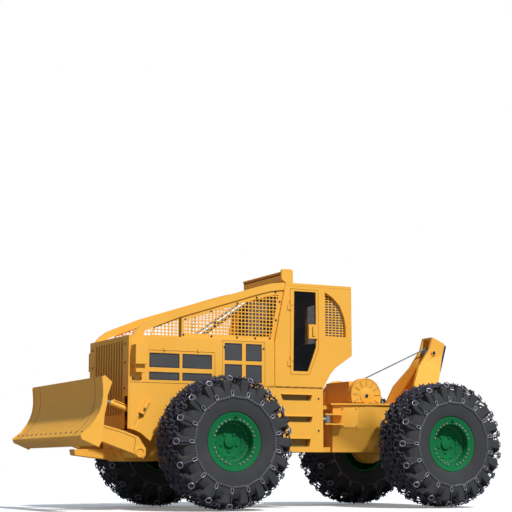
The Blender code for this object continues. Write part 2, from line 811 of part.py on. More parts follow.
def grille(mats):
    back = HOOD_FRONT + SEAT
    plate = box(back, GRILLE_FACE, -BODY_HALF, BODY_HALF, GRILLE_FOOT, HOOD_TOP)
    frame = make("grille_frame", plate, mats["yellow"])
    cut(frame, box(back - 0.1, GRILLE_FACE + 0.1, -CORE_HALF, CORE_HALF, CORE_LOW, CORE_HIGH))
    for word, side in SIDES:
        y0, y1 = sorted((side * (LIFT_Y - SLOT_HALF), side * (LIFT_Y + SLOT_HALF)))
        cut(frame, box(back - 0.1, GRILLE_FACE + 0.1, y0, y1, GRILLE_FOOT - 0.1, SLOT_TOP))
    half = CORE_HALF - SEAT
    plate = box(back - 0.03, GRILLE_FACE - 0.008, -half, half, CORE_LOW + SEAT, CORE_HIGH - SEAT)
    core = make("grille_core", plate, mats["yellow"])
    wide = 2 * half / CORE_COLUMNS
    high = (CORE_HIGH - CORE_LOW - 0.08) / CORE_ROWS
    slots = []
    for column in range(CORE_COLUMNS):
        y = -half + (column + 0.5) * wide
        for row in range(CORE_ROWS):
            z = CORE_LOW + 0.04 + (row + 0.5) * high
            y0, y1 = y - wide * CORE_OPEN[0], y + wide * CORE_OPEN[0]
            z0, z1 = z - high * CORE_OPEN[1], z + high * CORE_OPEN[1]
            slots.append(box(back - 0.1, GRILLE_FACE + 0.1, y0, y1, z0, z1))
    cut(core, joined(*slots))
    return frame, core


def engine(mat):
    block = box(*ENGINE_X, -ENGINE_HALF, ENGINE_HALF, CHASSIS_TOP + SEAT, ENGINE_TOP)
    return make("engine_block", block, mat)


def cab(mats):
    """A welded shell with real window and door openings, and the roof on top."""
    shell = make("cab_shell", prism(CAB_SIDE, -CAB_HALF, CAB_HALF), mats["yellow"])
    inner = CAB_HALF - CAB_WALL
    cut(shell, prism(CAB_INSIDE, -inner, inner))
    wide = CAB_HALF + 0.1
    cut(shell, prism([(x + gx * DOOR_GAP, z + gz * DOOR_GAP) for x, z, gx, gz in DOOR], -wide, wide))
    cut(shell, prism(QUARTER, -wide, wide))
    half = CAB_HALF - WINDOW_EDGE
    low, high = WINDOW_Z
    cut(shell, box(CAB_FRONT - 0.4, CAB_FRONT + 0.1, -half, half, low, high))
    half = half - 0.08
    cut(shell, box(CAB_REAR - WINDOW_EDGE, CAB_REAR + WINDOW_EDGE, -half, half, low, high))
    for word, side in SIDES:
        for z in HINGES:
            y0, y1 = sorted((side * (CAB_HALF - 0.02), side * (CAB_HALF + HINGE_R)))
            low = z - HINGE_L / 2
            add(shell, upright(DOOR_AXIS_X, side * (CAB_HALF + HINGE_R), low, z - SEAT / 2, HINGE_R, 10))
            add(shell, box(DOOR_AXIS_X, DOOR_AXIS_X + 0.05, y0, y1, low, z - SEAT / 2))
    roof = make("cab_roof", prism(ROOF_SIDE, -CAB_HALF, CAB_HALF), mats["yellow"])
    end = CAB_HALF - VISOR_END_T
    visor = make("roof_box", prism(VISOR_SIDE, -VISOR_RIGHT, end + 0.01), mats["yellow"])
    add(visor, prism(VISOR_END, end, CAB_HALF))
    return shell, roof, visor


def door(word, side, mat):
    axis = at(DOOR_AXIS_X, DOOR_LOW, side * (CAB_HALF + HINGE_R))
    y0, y1 = sorted((side * (CAB_HALF - CAB_WALL), side * CAB_HALF))
    obj = make(f"{word}_door", prism([(x, z) for x, z, gx, gz in DOOR], y0, y1), mat, axis)
    cut(obj, prism(DOOR_WINDOW, y0 - 0.1, y1 + 0.1))
    l0, l1 = sorted((side * (CAB_HALF - 0.02), side * (CAB_HALF + 0.03)))
    add(obj, box(DOOR_REAR + 0.015, DOOR_REAR + 0.19, l0, l1, *LATCH))
    for z in HINGES:
        top = z + HINGE_L / 2
        b0, b1 = sorted((side * (CAB_HALF - 0.02), side * (CAB_HALF + HINGE_R)))
        add(obj, upright(DOOR_AXIS_X, side * (CAB_HALF + HINGE_R), z + SEAT / 2, top, HINGE_R, 10))
        add(obj, box(DOOR_AXIS_X - 0.05, DOOR_AXIS_X, b0, b1, z + SEAT / 2, top))
    return obj


def seat(mat):
    """Pedestal, cushion and back in one plain form."""
    outline = (
        (-1.55, CAB_FLOOR + SEAT),
        (-1.62, CAB_FLOOR + 0.25),
        (-1.38, CAB_FLOOR + 0.31),
        (-1.38, CAB_FLOOR + 0.43),
        (-1.84, CAB_FLOOR + 0.39),
        (-1.98, CAB_FLOOR + 1.01),
        (-2.08, CAB_FLOOR + 0.99),
        (-1.98, CAB_FLOOR + 0.27),
        (-1.85, CAB_FLOOR + 0.23),
        (-1.85, CAB_FLOOR + SEAT),
    )
    return make("seat", prism(outline, -0.26, 0.26), mat)


def beam_lower():
    """The lower edge of the sloping beams, from the front to the cab."""
    return [(x, beam_top(x) - BEAM_DEPTH) for x, share in GUARD_RISE[2:]]


def guards(mat):
    """Two sloping beams from the hood to the roof with bars between them."""
    top = [(BEAM_FRONT, HOOD_TOP + SEAT)] + [(x, beam_top(x)) for x, share in GUARD_RISE]
    rear = [(cab_front_x(z) + SEAT, z) for z in (ROOF_TOP, CAB_TOP, ROOF_TOP - BEAM_DEPTH)]
    outline = top + rear + beam_lower()[::-1] + [(GUARD_RISE[2][0] + 0.07, HOOD_TOP + SEAT)]
    inner = BODY_HALF - BEAM_W
    obj = make("canopy_guard", prism(outline, inner, BODY_HALF), mat)
    add(obj, prism(outline, -BODY_HALF, -inner))
    for x in BEAM_BARS:
        z = beam_top(x) - BEAM_DEPTH / 2
        add(obj, cross_pin(x, z, -inner - 0.02, inner + 0.02, BEAM_BAR_R, 10))
    return obj


def mesh_holes():
    """The openings of the side mesh: a grid whose top row follows the beam."""
    low = HOOD_TOP + MESH_EDGE
    holes = []
    for front, rear in MESH_PANELS:
        columns = round((front - rear) / MESH_PITCH)
        pitch = (front - rear) / columns
        for k in range(columns):
            x0 = front - k * pitch
            x1 = x0 - pitch + MESH_BAR
            tops = [beam_top(x) - BEAM_DEPTH - MESH_EDGE for x in (x0, x1)]
            z = low
            while z + MESH_BAR < min(tops) and x1 > cab_front_x(z) + MESH_BAR:
                roof = [min(top, z + MESH_PITCH - MESH_BAR) for top in tops]
                holes.append(((x0, z), (x1, z), (x1, roof[1]), (x0, roof[0])))
                z += MESH_PITCH
    return holes


def side_mesh(word, side, mat):
    """A sheet between hood, beam and cab with a grid of openings under the beam."""
    y0, y1 = sorted((side * (BODY_HALF - 0.02 - MESH_T), side * (BODY_HALF - 0.02)))
    top = [(x, z - SEAT) for x, z in beam_lower() if x <= MESH_FRONT]
    corners = (ROOF_TOP - BEAM_DEPTH - SEAT, CAB_SIDE[1][1], HOOD_TOP + SEAT)
    rear = [(cab_front_x(z) + SEAT, z) for z in corners]
    outline = [(MESH_FRONT, HOOD_TOP + SEAT)] + top + rear
    obj = make(f"{word}_side_mesh", prism(outline, y0, y1), mat)
    holes = [prism(hole, y0 - 0.1, y1 + 0.1) for hole in mesh_holes()]
    cut(obj, joined(*holes))
    return obj


def quarter_mesh(word, side, mat):
    """A sheet with a grid of openings, held to the cab wall inside its rear side window."""
    inner = CAB_HALF - CAB_WALL - SEAT
    y0, y1 = sorted((side * (inner - QUARTER_T), side * inner))
    x0, x1, z0, z1 = QUARTER_SHEET
    obj = make(f"{word}_quarter_mesh", box(x0, x1, y0, y1, z0, z1), mat)
    wide = (x1 - x0 - MESH_BAR) / QUARTER_COLUMNS
    high = (z1 - z0 - MESH_BAR) / QUARTER_ROWS
    holes = []
    for column in range(QUARTER_COLUMNS):
        for row in range(QUARTER_ROWS):
            x = x0 + MESH_BAR + column * wide
            z = z0 + MESH_BAR + row * high
            holes.append(box(x, x + wide - MESH_BAR, y0 - 0.1, y1 + 0.1, z, z + high - MESH_BAR))
    cut(obj, joined(*holes))
    return obj


def headlight(word, side, mat):
    """A box with a sunk round lens at its front, on a bracket."""
    y0, y1 = sorted((side * (BODY_HALF + SEAT), side * LAMP_OUT))
    obj = make(f"{word}_headlight", box(*LAMP_X, y0, y1, *LAMP_Z), mat)
    front = LAMP_X[1]
    b0, b1 = sorted((side * (BODY_HALF + SEAT), side * (LAMP_OUT - 0.06)))
    add(obj, box(LAMP_X[0] + 0.02, front - 0.03, b0, b1, LAMP_Z[0] - 0.12, LAMP_Z[0] + 0.01))
    z0, z1 = LAMP_Z[0] + LAMP_RIM, LAMP_Z[1] - LAMP_RIM
    cut(obj, box(front - LAMP_SINK, front + 0.1, y0 + LAMP_RIM, y1 - LAMP_RIM, z0, z1))
    y, z = (y0 + y1) / 2, sum(LAMP_Z) / 2
    add(obj, rod(at(front - LAMP_SINK - 0.01, z, y), at(front - 0.012, z, y), LENS_R))
    return obj


def exhaust(mat):
    tube = rod(at(-0.14, HOOD_TOP + 0.10), at(-1.02, HOOD_TOP + 0.70), EXHAUST_R, 16)
    obj = make("exhaust", tube, mat, smooth=True)
    add(obj, upright(-0.12, 0, HOOD_TOP + SEAT, HOOD_TOP + 0.14, EXHAUST_R + 0.01))
    return obj


def blade(mat):
    """The mouldboard with end plates, its push arms and the ears for the cylinders."""
    pivot = at(*BLADE_PIVOT)
    obj = make("blade", prism(BOARD_SIDE, -BLADE_HALF, BLADE_HALF), mat, pivot)
    for side in (LEFT, RIGHT):
        y0, y1 = sorted((side * (BLADE_HALF - END_T), side * BLADE_HALF))
        add(obj, prism(END_SIDE, y0, y1))
        y0, y1 = sorted((side * ARM_IN, side * ARM_OUT))
        add(obj, prism(ARM_SIDE, y0, y1))
        x, z = LIFT_FRONT
        for e0, e1 in EARS:
            y0, y1 = sorted((side * (LIFT_Y + e0), side * (LIFT_Y + e1)))
            outline = ((x - 0.06, z - 0.05), (x - 0.06, z + 0.06), (x + 0.13, z + 0.10), (x + 0.13, z - 0.14))
            add(obj, prism(outline, y0, y1))
    add(obj, box(1.98, 2.06, -ARM_IN - 0.05, ARM_IN + 0.05, 0.85, 0.97))
    x, z = BLADE_PIVOT
    cut(obj, cross_pin(x, z, -ARM_OUT - 0.1, ARM_OUT + 0.1, hole_r(ARM_PIN_R, PIN_SIDES)))
    return obj


def cylinder(word, start, end, eye_along, barrel_r, rod_r, barrel_l, travel_in, eye_half, pin_r, mats):
    """A barrel on its pin and a rod in its bore, both lying from start to end."""
    along = (end - start).normalized()
    eye_r = barrel_r + 0.012
    tube = rod(start + along * 0.03, start + along * barrel_l, barrel_r)
    barrel = make(f"{word}_barrel", tube, mats["yellow"], start, smooth=True)
    add(barrel, rod(start - eye_along * eye_half, start + eye_along * eye_half, eye_r))
    cut(barrel, rod(start - eye_along * 0.2, start + eye_along * 0.2, hole_r(pin_r)))
    cut(barrel, rod(start + along * BORE_START, start + along * (barrel_l + 0.1), rod_r + SEAT))
    back = start + along * (BORE_START + travel_in + 0.01)
    piston = make(f"{word}_rod", rod(back, end - along * 0.02, rod_r), mats["steel"], end, smooth=True)
    add(piston, rod(end - eye_along * eye_half, end + eye_along * eye_half, rod_r * 1.6))
    return barrel, piston


def cylinders(mats):
    for word, side in SIDES:
        cylinder(
            f"{word}_lift",
            at(LIFT_REAR[0], LIFT_REAR[1], side * LIFT_Y),
            at(LIFT_FRONT[0], LIFT_FRONT[1], side * LIFT_Y),
            Vector((0, 1, 0)),
            LIFT_BARREL_R,
            LIFT_ROD_R,
            LIFT_BARREL_L,
            LIFT_IN,
            LIFT_EYE_HALF,
            LIFT_PIN_R,
            mats,
        )
        cylinder(
            f"{word}_steer",
            at(STEER_FRONT[0], STEER_Z, side * STEER_FRONT[1]),
            at(STEER_REAR[0], STEER_Z, side * STEER_REAR[1]),
            Vector((0, 0, 1)),
            STEER_BARREL_R,
            STEER_ROD_R,
            STEER_BARREL_L,
            STEER_IN,
            STEER_EYE_HALF,
            STEER_PIN_R,
            mats,
        )


def drum_well():
    """The hole through deck and frame that the winch drum turns in."""
    return box(DRUM_X - DRUM_WELL, DRUM_X + DRUM_WELL, -DRUM_WELL_HALF, DRUM_WELL_HALF, DRUM_Z - DRUM_WELL, 2)


def rear_frame(mat):
    """A box frame that narrows to the hitch, with its keel drawn in below."""
    pivot = at(PIVOT_X, 1.0)
    bm = bmesh.new()
    rings = []
    for x, top, keel in REAR_STATIONS:
        half = ((top, FRAME_TOP), (top, FRAME_MID), (keel, FRAME_KEEL))
        points = [(y, z) for y, z in half] + [(-y, z) for y, z in reversed(half)]
        rings.append([bm.verts.new(at(x, z, y)) for y, z in points])
    for a, b in zip(rings, rings[1:]):
        for k in range(len(a)):
            n = (k + 1) % len(a)
            bm.faces.new((a[k], a[n], b[n], b[k]))
    bm.faces.new(rings[0])
    bm.faces.new(rings[-1])
    bmesh.ops.recalc_face_normals(bm, faces=bm.faces)
    obj = make("rear_frame", bm, mat, pivot)
    cut(obj, box(REAR_X - 0.34, REAR_X + 0.34, -1, 1, 0.5, 1.0))
    cut(obj, drum_well())
    for low, high in REAR_LUGS:
        add(obj, hitch_plate(REAR_STATIONS[0][0] - 0.05, HITCH_HALF + 0.02, low, high))
    add(obj, upright(PIVOT_X, 0, REAR_LUGS[0][0] + 0.01, REAR_LUGS[1][1] - 0.01, PIN_R, PIN_SIDES, 0.5))
    for side in (LEFT, RIGHT):
        x, y = STEER_REAR
        for low, high in CLEVIS:
            corners = ((0.06, -0.05), (0.06, 0.04), (-0.32, 0.02), (-0.32, -0.16))
            outline = tuple((x + dx, side * (y + dy)) for dx, dy in corners)
            add(obj, plan(outline, STEER_Z + low, STEER_Z + high))
    add(obj, box(BUTT_X, BUTT_X + 0.06, -BUTT_HALF, BUTT_HALF, 1.00, 1.80))
    add(obj, box(BUTT_X, BUTT_X + 0.30, -BUTT_HALF / 2, BUTT_HALF / 2, 1.05, 1.50))
    return obj


def deck(mat):
    """A plate on the frame, with its front corners cut off and a hole for the drum."""
    front, wide = PIVOT_X - 0.27, FRAME_WIDE + 0.03
    obj = make("deck", box(REAR_X + 0.40, front, -wide, wide, FRAME_TOP + SEAT, DECK_TOP), mat)
    bend = REAR_STATIONS[1][0]
    corner = ((bend, -1), (bend, -wide + 0.005), (PIVOT_X, -0.27), (PIVOT_X, -1))
    cut(obj, plan(corner, 1, 2), plan([(x, -y) for x, y in corner], 1, 2))
    cut(obj, drum_well())
    return obj


def winch(mats):
    """A housing of front plate, two cheeks and round side covers, and the rope drum."""
    floor = DECK_TOP + SEAT
    plate = box(CASE_FRONT - 0.03, CASE_FRONT, -CASE_HALF, CASE_HALF, floor, CASE_TOP)
    case = make("winch_case", plate, mats["yellow"])
    round_top = [math.pi * (k - 2) / 16 for k in range(21)]
    cover = [(DRUM_X + COVER_R * math.cos(a), max(floor, DRUM_Z + COVER_R * math.sin(a))) for a in round_top]
    for side in (LEFT, RIGHT):
        y0, y1 = sorted((side * (CASE_HALF - 0.038), side * (CASE_HALF + 0.007)))
        add(case, box(CASE_REAR, CASE_FRONT, y0, y1, floor, CASE_TOP))
        y0, y1 = sorted((side * (CASE_HALF - 0.003), side * COVER_OUT))
        add(case, prism(cover, y0, y1))
    pin = COVER_OUT - 0.06
    cut(case, cross_pin(DRUM_X, DRUM_Z, -pin - 0.01, pin + 0.01, hole_r(DRUM_PIN_R)))
    centre = at(DRUM_X, DRUM_Z)
    half = DRUM_HALF
    profile = (
        (0, -pin),
        (DRUM_PIN_R, -pin),
        (DRUM_PIN_R, -half),
        (DRUM_FLANGE_R, -half),
        (DRUM_FLANGE_R, -half + 0.02),
        (DRUM_R, -half + 0.02),
        (DRUM_R, half - 0.02),
        (DRUM_FLANGE_R, half - 0.02),
        (DRUM_FLANGE_R, half),
        (DRUM_PIN_R, half),
        (DRUM_PIN_R, pin),
        (0, pin),
    )
    drum = make("winch_drum", turned(profile, PIN_SIDES, centre), mats["steel"], centre, smooth=True)
    return case, drum


def arch_half(z):
    """The arch's half width at this height, where its legs splay below the knee."""
    return ARCH_HEAD_HALF + ARCH_SPLAY * max(0.0, ARCH_KNEE - z)


def arch(mats):
    """The rear arch: cheeks for the roller on two splayed legs with a web between."""
    legs = []
    for side in (LEFT, RIGHT):
        bm = bmesh.new()
        rows = []
        for row in ARCH_ROWS:
            corners = []
            for inset in (0, ARCH_PLATE):
                for x, z in row:
                    corners.append(bm.verts.new(at(x, z, side * (arch_half(z) - inset))))
            rows.append(corners)
        for a, b in zip(rows, rows[1:]):
            for i, j in ((0, 1), (1, 3), (3, 2), (2, 0)):
                bm.faces.new((a[i], a[j], b[j], b[i]))
        for a in (rows[0], rows[-1]):
            bm.faces.new((a[0], a[1], a[3], a[2]))
        bmesh.ops.recalc_face_normals(bm, faces=bm.faces)
        legs.append(bm)
    obj = make("arch", legs[0], mats["yellow"])
    add(obj, legs[1])
    web = bmesh.new()
    points = []
    for x, z in ARCH_WEB:
        reach = arch_half(z) - 0.03
        points += [(x, z, reach), (x, z, -reach)]
    a, b, d, c = points
    front = [web.verts.new(at(p[0], p[1], p[2])) for p in (a, b, c, d)]
    back = [web.verts.new(at(p[0] - 0.05, p[1], p[2])) for p in (a, b, c, d)]
    web.faces.new(front)
    web.faces.new(back)
    for k in range(4):
        n = (k + 1) % 4
        web.faces.new((front[k], front[n], back[n], back[k]))
    bmesh.ops.triangulate(web, faces=web.faces)
    bmesh.ops.recalc_face_normals(web, faces=web.faces)
    add(obj, web)
    inner = ARCH_HEAD_HALF - ARCH_PLATE
    (x0, z0), (x1, z1) = ARCH_ROWS[0]
    lid = ((x0, z0), (x1, z1), (x1, z1 - ARCH_LID_T), (x0, z0 - ARCH_LID_T))
    add(obj, prism(lid, -inner - 0.02, inner + 0.02))
    x, z = ROLLER
    for side in (LEFT, RIGHT):
        y = side * (ARCH_HEAD_HALF - ARCH_PLATE / 2)
        add(obj, rod(at(*REAR_BARS[0], y), at(*REAR_BARS[1], y), REAR_ROLLER_R))
        add(obj, rod(at(x, z, y), at(x, z, side * (ARCH_HEAD_HALF + 0.03)), 0.05))
    centre = at(x, z)
    pin = cross_pin(x, z, -inner + SEAT, inner - SEAT, ROLLER_R)
    roller = make("top_roller", pin, mats["steel"], centre, smooth=True)
    return obj, roller


def line_points():
    """The rope's way in the middle plane: up from the drum, over the roller and down behind it."""
    drum, roller = Vector((DRUM_X, DRUM_Z)), Vector(ROLLER)
    bend = math.radians(24)
    drum_r = DRUM_R + LINE_R + SEAT
    roller_r = (ROLLER_R + LINE_R + SEAT) / math.cos(bend / 2)
    way = roller - drum
    start = math.atan2(way.y, way.x) - math.acos((drum_r - roller_r) / way.length)
    points = [drum + drum_r * Vector((math.cos(start), math.sin(start)))]
    for k in range(4):
        angle = start + k * bend
        points.append(roller + roller_r * Vector((math.cos(angle), math.sin(angle))))
    down = angle + math.pi / 2
    points.append(points[-1] + LINE_END * Vector((math.cos(down), math.sin(down))))
    return [at(x, z) for x, z in points]


def winch_line(mat):
    """A tube along those points, with a socket at its free end."""
    points = line_points()
    across = Vector((0, 1, 0))
    bm = bmesh.new()
    rings = []
    for k, point in enumerate(points):
        along = (points[min(k + 1, len(points) - 1)] - points[max(k - 1, 0)]).normalized()
        up = along.cross(across)
        turns = [2 * math.pi * i / LINE_SIDES for i in range(LINE_SIDES)]
        ring = [point + LINE_R * (math.cos(t) * up + math.sin(t) * across) for t in turns]
        rings.append([bm.verts.new(corner) for corner in ring])
    for a, b in zip(rings, rings[1:]):
        for i in range(LINE_SIDES):
            j = (i + 1) % LINE_SIDES
            bm.faces.new((a[i], a[j], b[j], b[i]))
    bm.faces.new(rings[0])
    bm.faces.new(rings[-1])
    bmesh.ops.recalc_face_normals(bm, faces=bm.faces)
    obj = make("winch_line", bm, mat, smooth=True)
    along = (points[-1] - points[-2]).normalized()
    add(obj, rod(points[-1] - along * 0.03, points[-1] + along * 0.09, SOCKET_R))
    return obj


def main():
    for obj in list(bpy.data.objects):
        bpy.data.objects.remove(obj, do_unlink=True)
    mats = {
        "yellow": material("yellow paint", (0.94, 0.48, 0.07), 0.45, 0.0),
        "green": material("green paint", (0.01, 0.16, 0.05), 0.4, 0.0),
        "rubber": material("tyre rubber", (0.035, 0.035, 0.037), 0.85, 0.0),
        "chain": material("chain steel", (0.16, 0.15, 0.20), 0.4, 0.8),
        "steel": material("bare steel", (0.45, 0.46, 0.48), 0.35, 0.9),
        "iron": material("engine iron", (0.12, 0.12, 0.12), 0.6, 0.5),
        "seat": material("seat cover", (0.02, 0.02, 0.025), 0.8, 0.0),
    }
    wheels(mats)
    axle("front_axle", 0.0, mats["yellow"], 1.0)
    axle("rear_axle", -WHEELBASE, mats["yellow"], 1.0)
    front_frame(mats["yellow"])
    hood(mats["yellow"])
    grille(mats)
    engine(mats["iron"])
    cab(mats)
    guards(mats["yellow"])
    seat(mats["seat"])
    exhaust(mats["steel"])
    for word, side in SIDES:
        side_plate(f"{word}_side", side, mats["yellow"])
        door(word, side, mats["yellow"])
        side_mesh(word, side, mats["yellow"])
        headlight(word, side, mats["yellow"])
        quarter_mesh(word, side, mats["yellow"])
    blade(mats["yellow"])
    cylinders(mats)
    rear_frame(mats["yellow"])
    deck(mats["yellow"])
    winch(mats)
    arch(mats)
    winch_line(mats["steel"])


main()
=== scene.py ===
# %% [markdown]
# # An articulated cable skidder
# A skidder drags felled trees out of a forest. The front half carries the engine, the cab and a
# blade, the rear half carries a winch and an arch, and both turn on one upright pin between them.
# The solids of the machine come in as a fixed frame. This lesson dresses them: each plain solid
# is kept, or a detailed piece takes its place at the same spot.

# %% The frame
import json
import math
import random

import bmesh
import bpy
from mathutils import Matrix, Vector


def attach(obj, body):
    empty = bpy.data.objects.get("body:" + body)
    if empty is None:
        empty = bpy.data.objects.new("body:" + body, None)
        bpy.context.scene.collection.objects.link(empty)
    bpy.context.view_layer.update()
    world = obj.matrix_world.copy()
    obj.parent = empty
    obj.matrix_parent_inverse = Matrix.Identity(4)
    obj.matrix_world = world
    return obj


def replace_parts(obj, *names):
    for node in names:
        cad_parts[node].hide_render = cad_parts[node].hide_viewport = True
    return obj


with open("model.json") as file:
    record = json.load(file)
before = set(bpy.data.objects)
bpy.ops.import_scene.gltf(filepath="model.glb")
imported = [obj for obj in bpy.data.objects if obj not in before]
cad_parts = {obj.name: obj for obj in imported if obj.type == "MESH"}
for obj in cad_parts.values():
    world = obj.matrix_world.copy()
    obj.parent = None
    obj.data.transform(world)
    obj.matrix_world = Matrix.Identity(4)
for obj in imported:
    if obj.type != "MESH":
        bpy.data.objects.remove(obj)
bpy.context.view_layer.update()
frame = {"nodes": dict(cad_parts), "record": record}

BODIES = frame["record"]["behaviour"]["bodies"]
BODY = {node: body for body, nodes in BODIES.items() for node in nodes}
NODES = frame["nodes"]

# %% [markdown]
# ## Where things are
# Lengths along the machine are counted from the front axle, because the wheels are the easiest
# thing to find in any picture of it. `at` turns such a place into one of the frame. The machine is
# alike on both sides, so most pieces are given for the left side and mirrored.

# %% Places
AXLE_X = 1.2681
LIFT_Z = 0.1263
AXLE_Z = 1.0163
TRACK_HALF = 1.35
REAR_X = -3.90
PLATE_Y = 0.835
CAB_Y = 0.85
LEFT, RIGHT = 1, -1
UPRIGHT = (math.pi / 2, 0, 0)


def at(x, y, z):
    """A place given from the front axle, in the frame's metres."""
    return Vector((AXLE_X + x, y, LIFT_Z + z))


def side_word(side):
    """The word for a side, as the frame's names have it."""
    return "left" if side == LEFT else "right"


# %% [markdown]
# ## Camera
# The picture is taken from far off with a long lens, low down and ahead of the left front wheel,
# so the camera stands 20 m out to the side and looks slightly up. The position and the lens were
# fitted to points that show in the picture, such as the rims' edges and the corners of the cab.

# %% Camera
camera_data = bpy.data.cameras.new("camera")
camera = bpy.data.objects.new("camera", camera_data)
bpy.context.scene.collection.objects.link(camera)
camera.location = (10.3956, 20.2191, 0.6070)
camera.rotation_euler = (math.radians(90 + 8.803), 0, math.radians(180 - 27.111))
camera_data.sensor_width = 36
camera_data.lens = 97.074
bpy.context.scene.camera = camera
bpy.context.scene.view_settings.view_transform = "Standard"
print("camera lens:", camera_data.lens, "mm")

# %% [markdown]
# ## Floor and light
# The machine stands on a pale floor under plain studio light. The sun lamp has a width, so
# shadows have soft edges, and it comes from the rear left, because in the picture the left side
# and the tops are bright and the front faces are in shade. The world is a weak fill light that
# camera rays see as white. The floor is paler to the camera than to the machine, so little light
# comes back up.


# %% Floor
WHITE = (1, 1, 1, 1)


def dial(node, values):
    """Sets a node's sockets, each by its name or its number."""
    for socket, value in values.items():
        node.inputs[socket].default_value = value


bpy.ops.object.select_all(action="DESELECT")
bpy.ops.mesh.primitive_plane_add(size=400, location=(0, 0, 0))
floor = bpy.context.object
floor.name = "studio_floor"
bpy.ops.object.transform_apply(location=True, rotation=True, scale=True)
floor_mat = bpy.data.materials.new("studio_floor")
floor_mat.use_nodes = True
floor_nodes = floor_mat.node_tree.nodes
floor_look = floor_nodes["Principled BSDF"]
dial(floor_look, {"Roughness": 0.9, "Specular IOR Level": 0.05, "Emission Color": WHITE})
seen = floor_nodes.new("ShaderNodeLightPath").outputs["Is Camera Ray"]
pale = floor_nodes.new("ShaderNodeMix")
pale.data_type = "RGBA"
dial(pale, {6: (0.34, 0.34, 0.35, 1), 7: (0.93, 0.93, 0.94, 1)})
glow = floor_nodes.new("ShaderNodeMath")
glow.operation = "MULTIPLY"
dial(glow, {1: 0.16})
for source, target in ((seen, pale.inputs["Factor"]), (seen, glow.inputs[0]),
                       (pale.outputs[2], floor_look.inputs["Base Color"]),
                       (glow.outputs["Value"], floor_look.inputs["Emission Strength"])):
    floor_mat.node_tree.links.new(source, target)
floor.data.materials.append(floor_mat)

# %% Lamps and world
SUN_FROM = Vector((-0.10, 0.70, 0.72))
sun_data = bpy.data.lights.new("sun", "SUN")
sun_data.energy = 3.35
sun_data.angle = math.radians(3)
sun = bpy.data.objects.new("sun", sun_data)
sun.rotation_euler = SUN_FROM.to_track_quat("Z", "Y").to_euler()
bpy.context.scene.collection.objects.link(sun)

world = bpy.context.scene.world or bpy.data.worlds.new("world")
bpy.context.scene.world = world
world.use_nodes = True
sky = world.node_tree
sky.nodes.clear()
sky_out = sky.nodes.new("ShaderNodeOutputWorld")
sky_mix = sky.nodes.new("ShaderNodeMixShader")
sky_light = sky.nodes.new("ShaderNodeBackground")
sky_seen = sky.nodes.new("ShaderNodeBackground")
dial(sky_light, {"Color": (0.84, 0.97, 1.14, 1), "Strength": 0.34})
dial(sky_seen, {"Color": WHITE, "Strength": 1.0})
rays = sky.nodes.new("ShaderNodeLightPath")
for source, target in ((rays.outputs["Is Camera Ray"], sky_mix.inputs["Fac"]),
                       (sky_light.outputs["Background"], sky_mix.inputs[1]),
                       (sky_seen.outputs["Background"], sky_mix.inputs[2]),
                       (sky_mix.outputs["Shader"], sky_out.inputs["Surface"])):
    sky.links.new(source, target)
print("sun from", tuple(SUN_FROM), "strength", sun_data.energy)

# %% [markdown]
# ## Finishes
# Every finish is a Principled shader fed by noise in Object coordinates, so a pattern stays the
# same size on each piece. A wide, slow noise makes the colour wander, a fine one gives the grain,
# and a mask on a third adds dust or worn spots. The same helper builds them all, because a paint
# and a rubber differ only in its numbers.


# %% A helper for finishes
def new_material(name, colour):
    """A new material with its node tree and its shader."""
    mat = bpy.data.materials.new(name)
    mat.use_nodes = True
    mat.diffuse_color = (*colour, 1)
    return mat, mat.node_tree, mat.node_tree.nodes["Principled BSDF"]


def noise(tree, scale, detail=3.0, rough=0.5):
    """A noise on the object's own coordinates, from 0 to 1."""
    place = tree.nodes.new("ShaderNodeTexCoord")
    cloud = tree.nodes.new("ShaderNodeTexNoise")
    dial(cloud, {"Scale": scale, "Detail": detail, "Roughness": rough})
    tree.links.new(place.outputs["Object"], cloud.inputs["Vector"])
    return cloud.outputs["Fac"]


def ramp(tree, source, low, high, to_low=0.0, to_high=1.0):
    """Stretches a value so that low becomes to_low and high becomes to_high."""
    step = tree.nodes.new("ShaderNodeMapRange")
    dial(step, {"From Min": low, "From Max": high, "To Min": to_low, "To Max": to_high})
    tree.links.new(source, step.inputs["Value"])
    return step.outputs["Result"]


def mixed(tree, share, first, second):
    """A colour between two others, where share says how much of the second."""
    mix = tree.nodes.new("ShaderNodeMix")
    mix.data_type = "RGBA"
    tree.links.new(share, mix.inputs["Factor"])
    for socket, colour in ((mix.inputs[6], first), (mix.inputs[7], second)):
        if isinstance(colour, tuple):
            socket.default_value = (*colour, 1)
        else:
            tree.links.new(colour, socket)
    return mix.outputs[2]


def product(tree, first, second, kind="MULTIPLY"):
    """Two values multiplied, or put together in the other way that kind names."""
    step = tree.nodes.new("ShaderNodeMath")
    step.operation = kind
    for socket, value in zip(step.inputs, (first, second)):
        if isinstance(value, (int, float)):
            socket.default_value = value
        else:
            tree.links.new(value, socket)
    return step.outputs["Value"]


def roughen(tree, shader, height, distance, strength):
    """Gives the shader a bump from this height."""
    bump = tree.nodes.new("ShaderNodeBump")
    dial(bump, {"Distance": distance, "Strength": strength})
    tree.links.new(height, bump.inputs["Height"])
    tree.links.new(bump.outputs["Normal"], shader.inputs["Normal"])


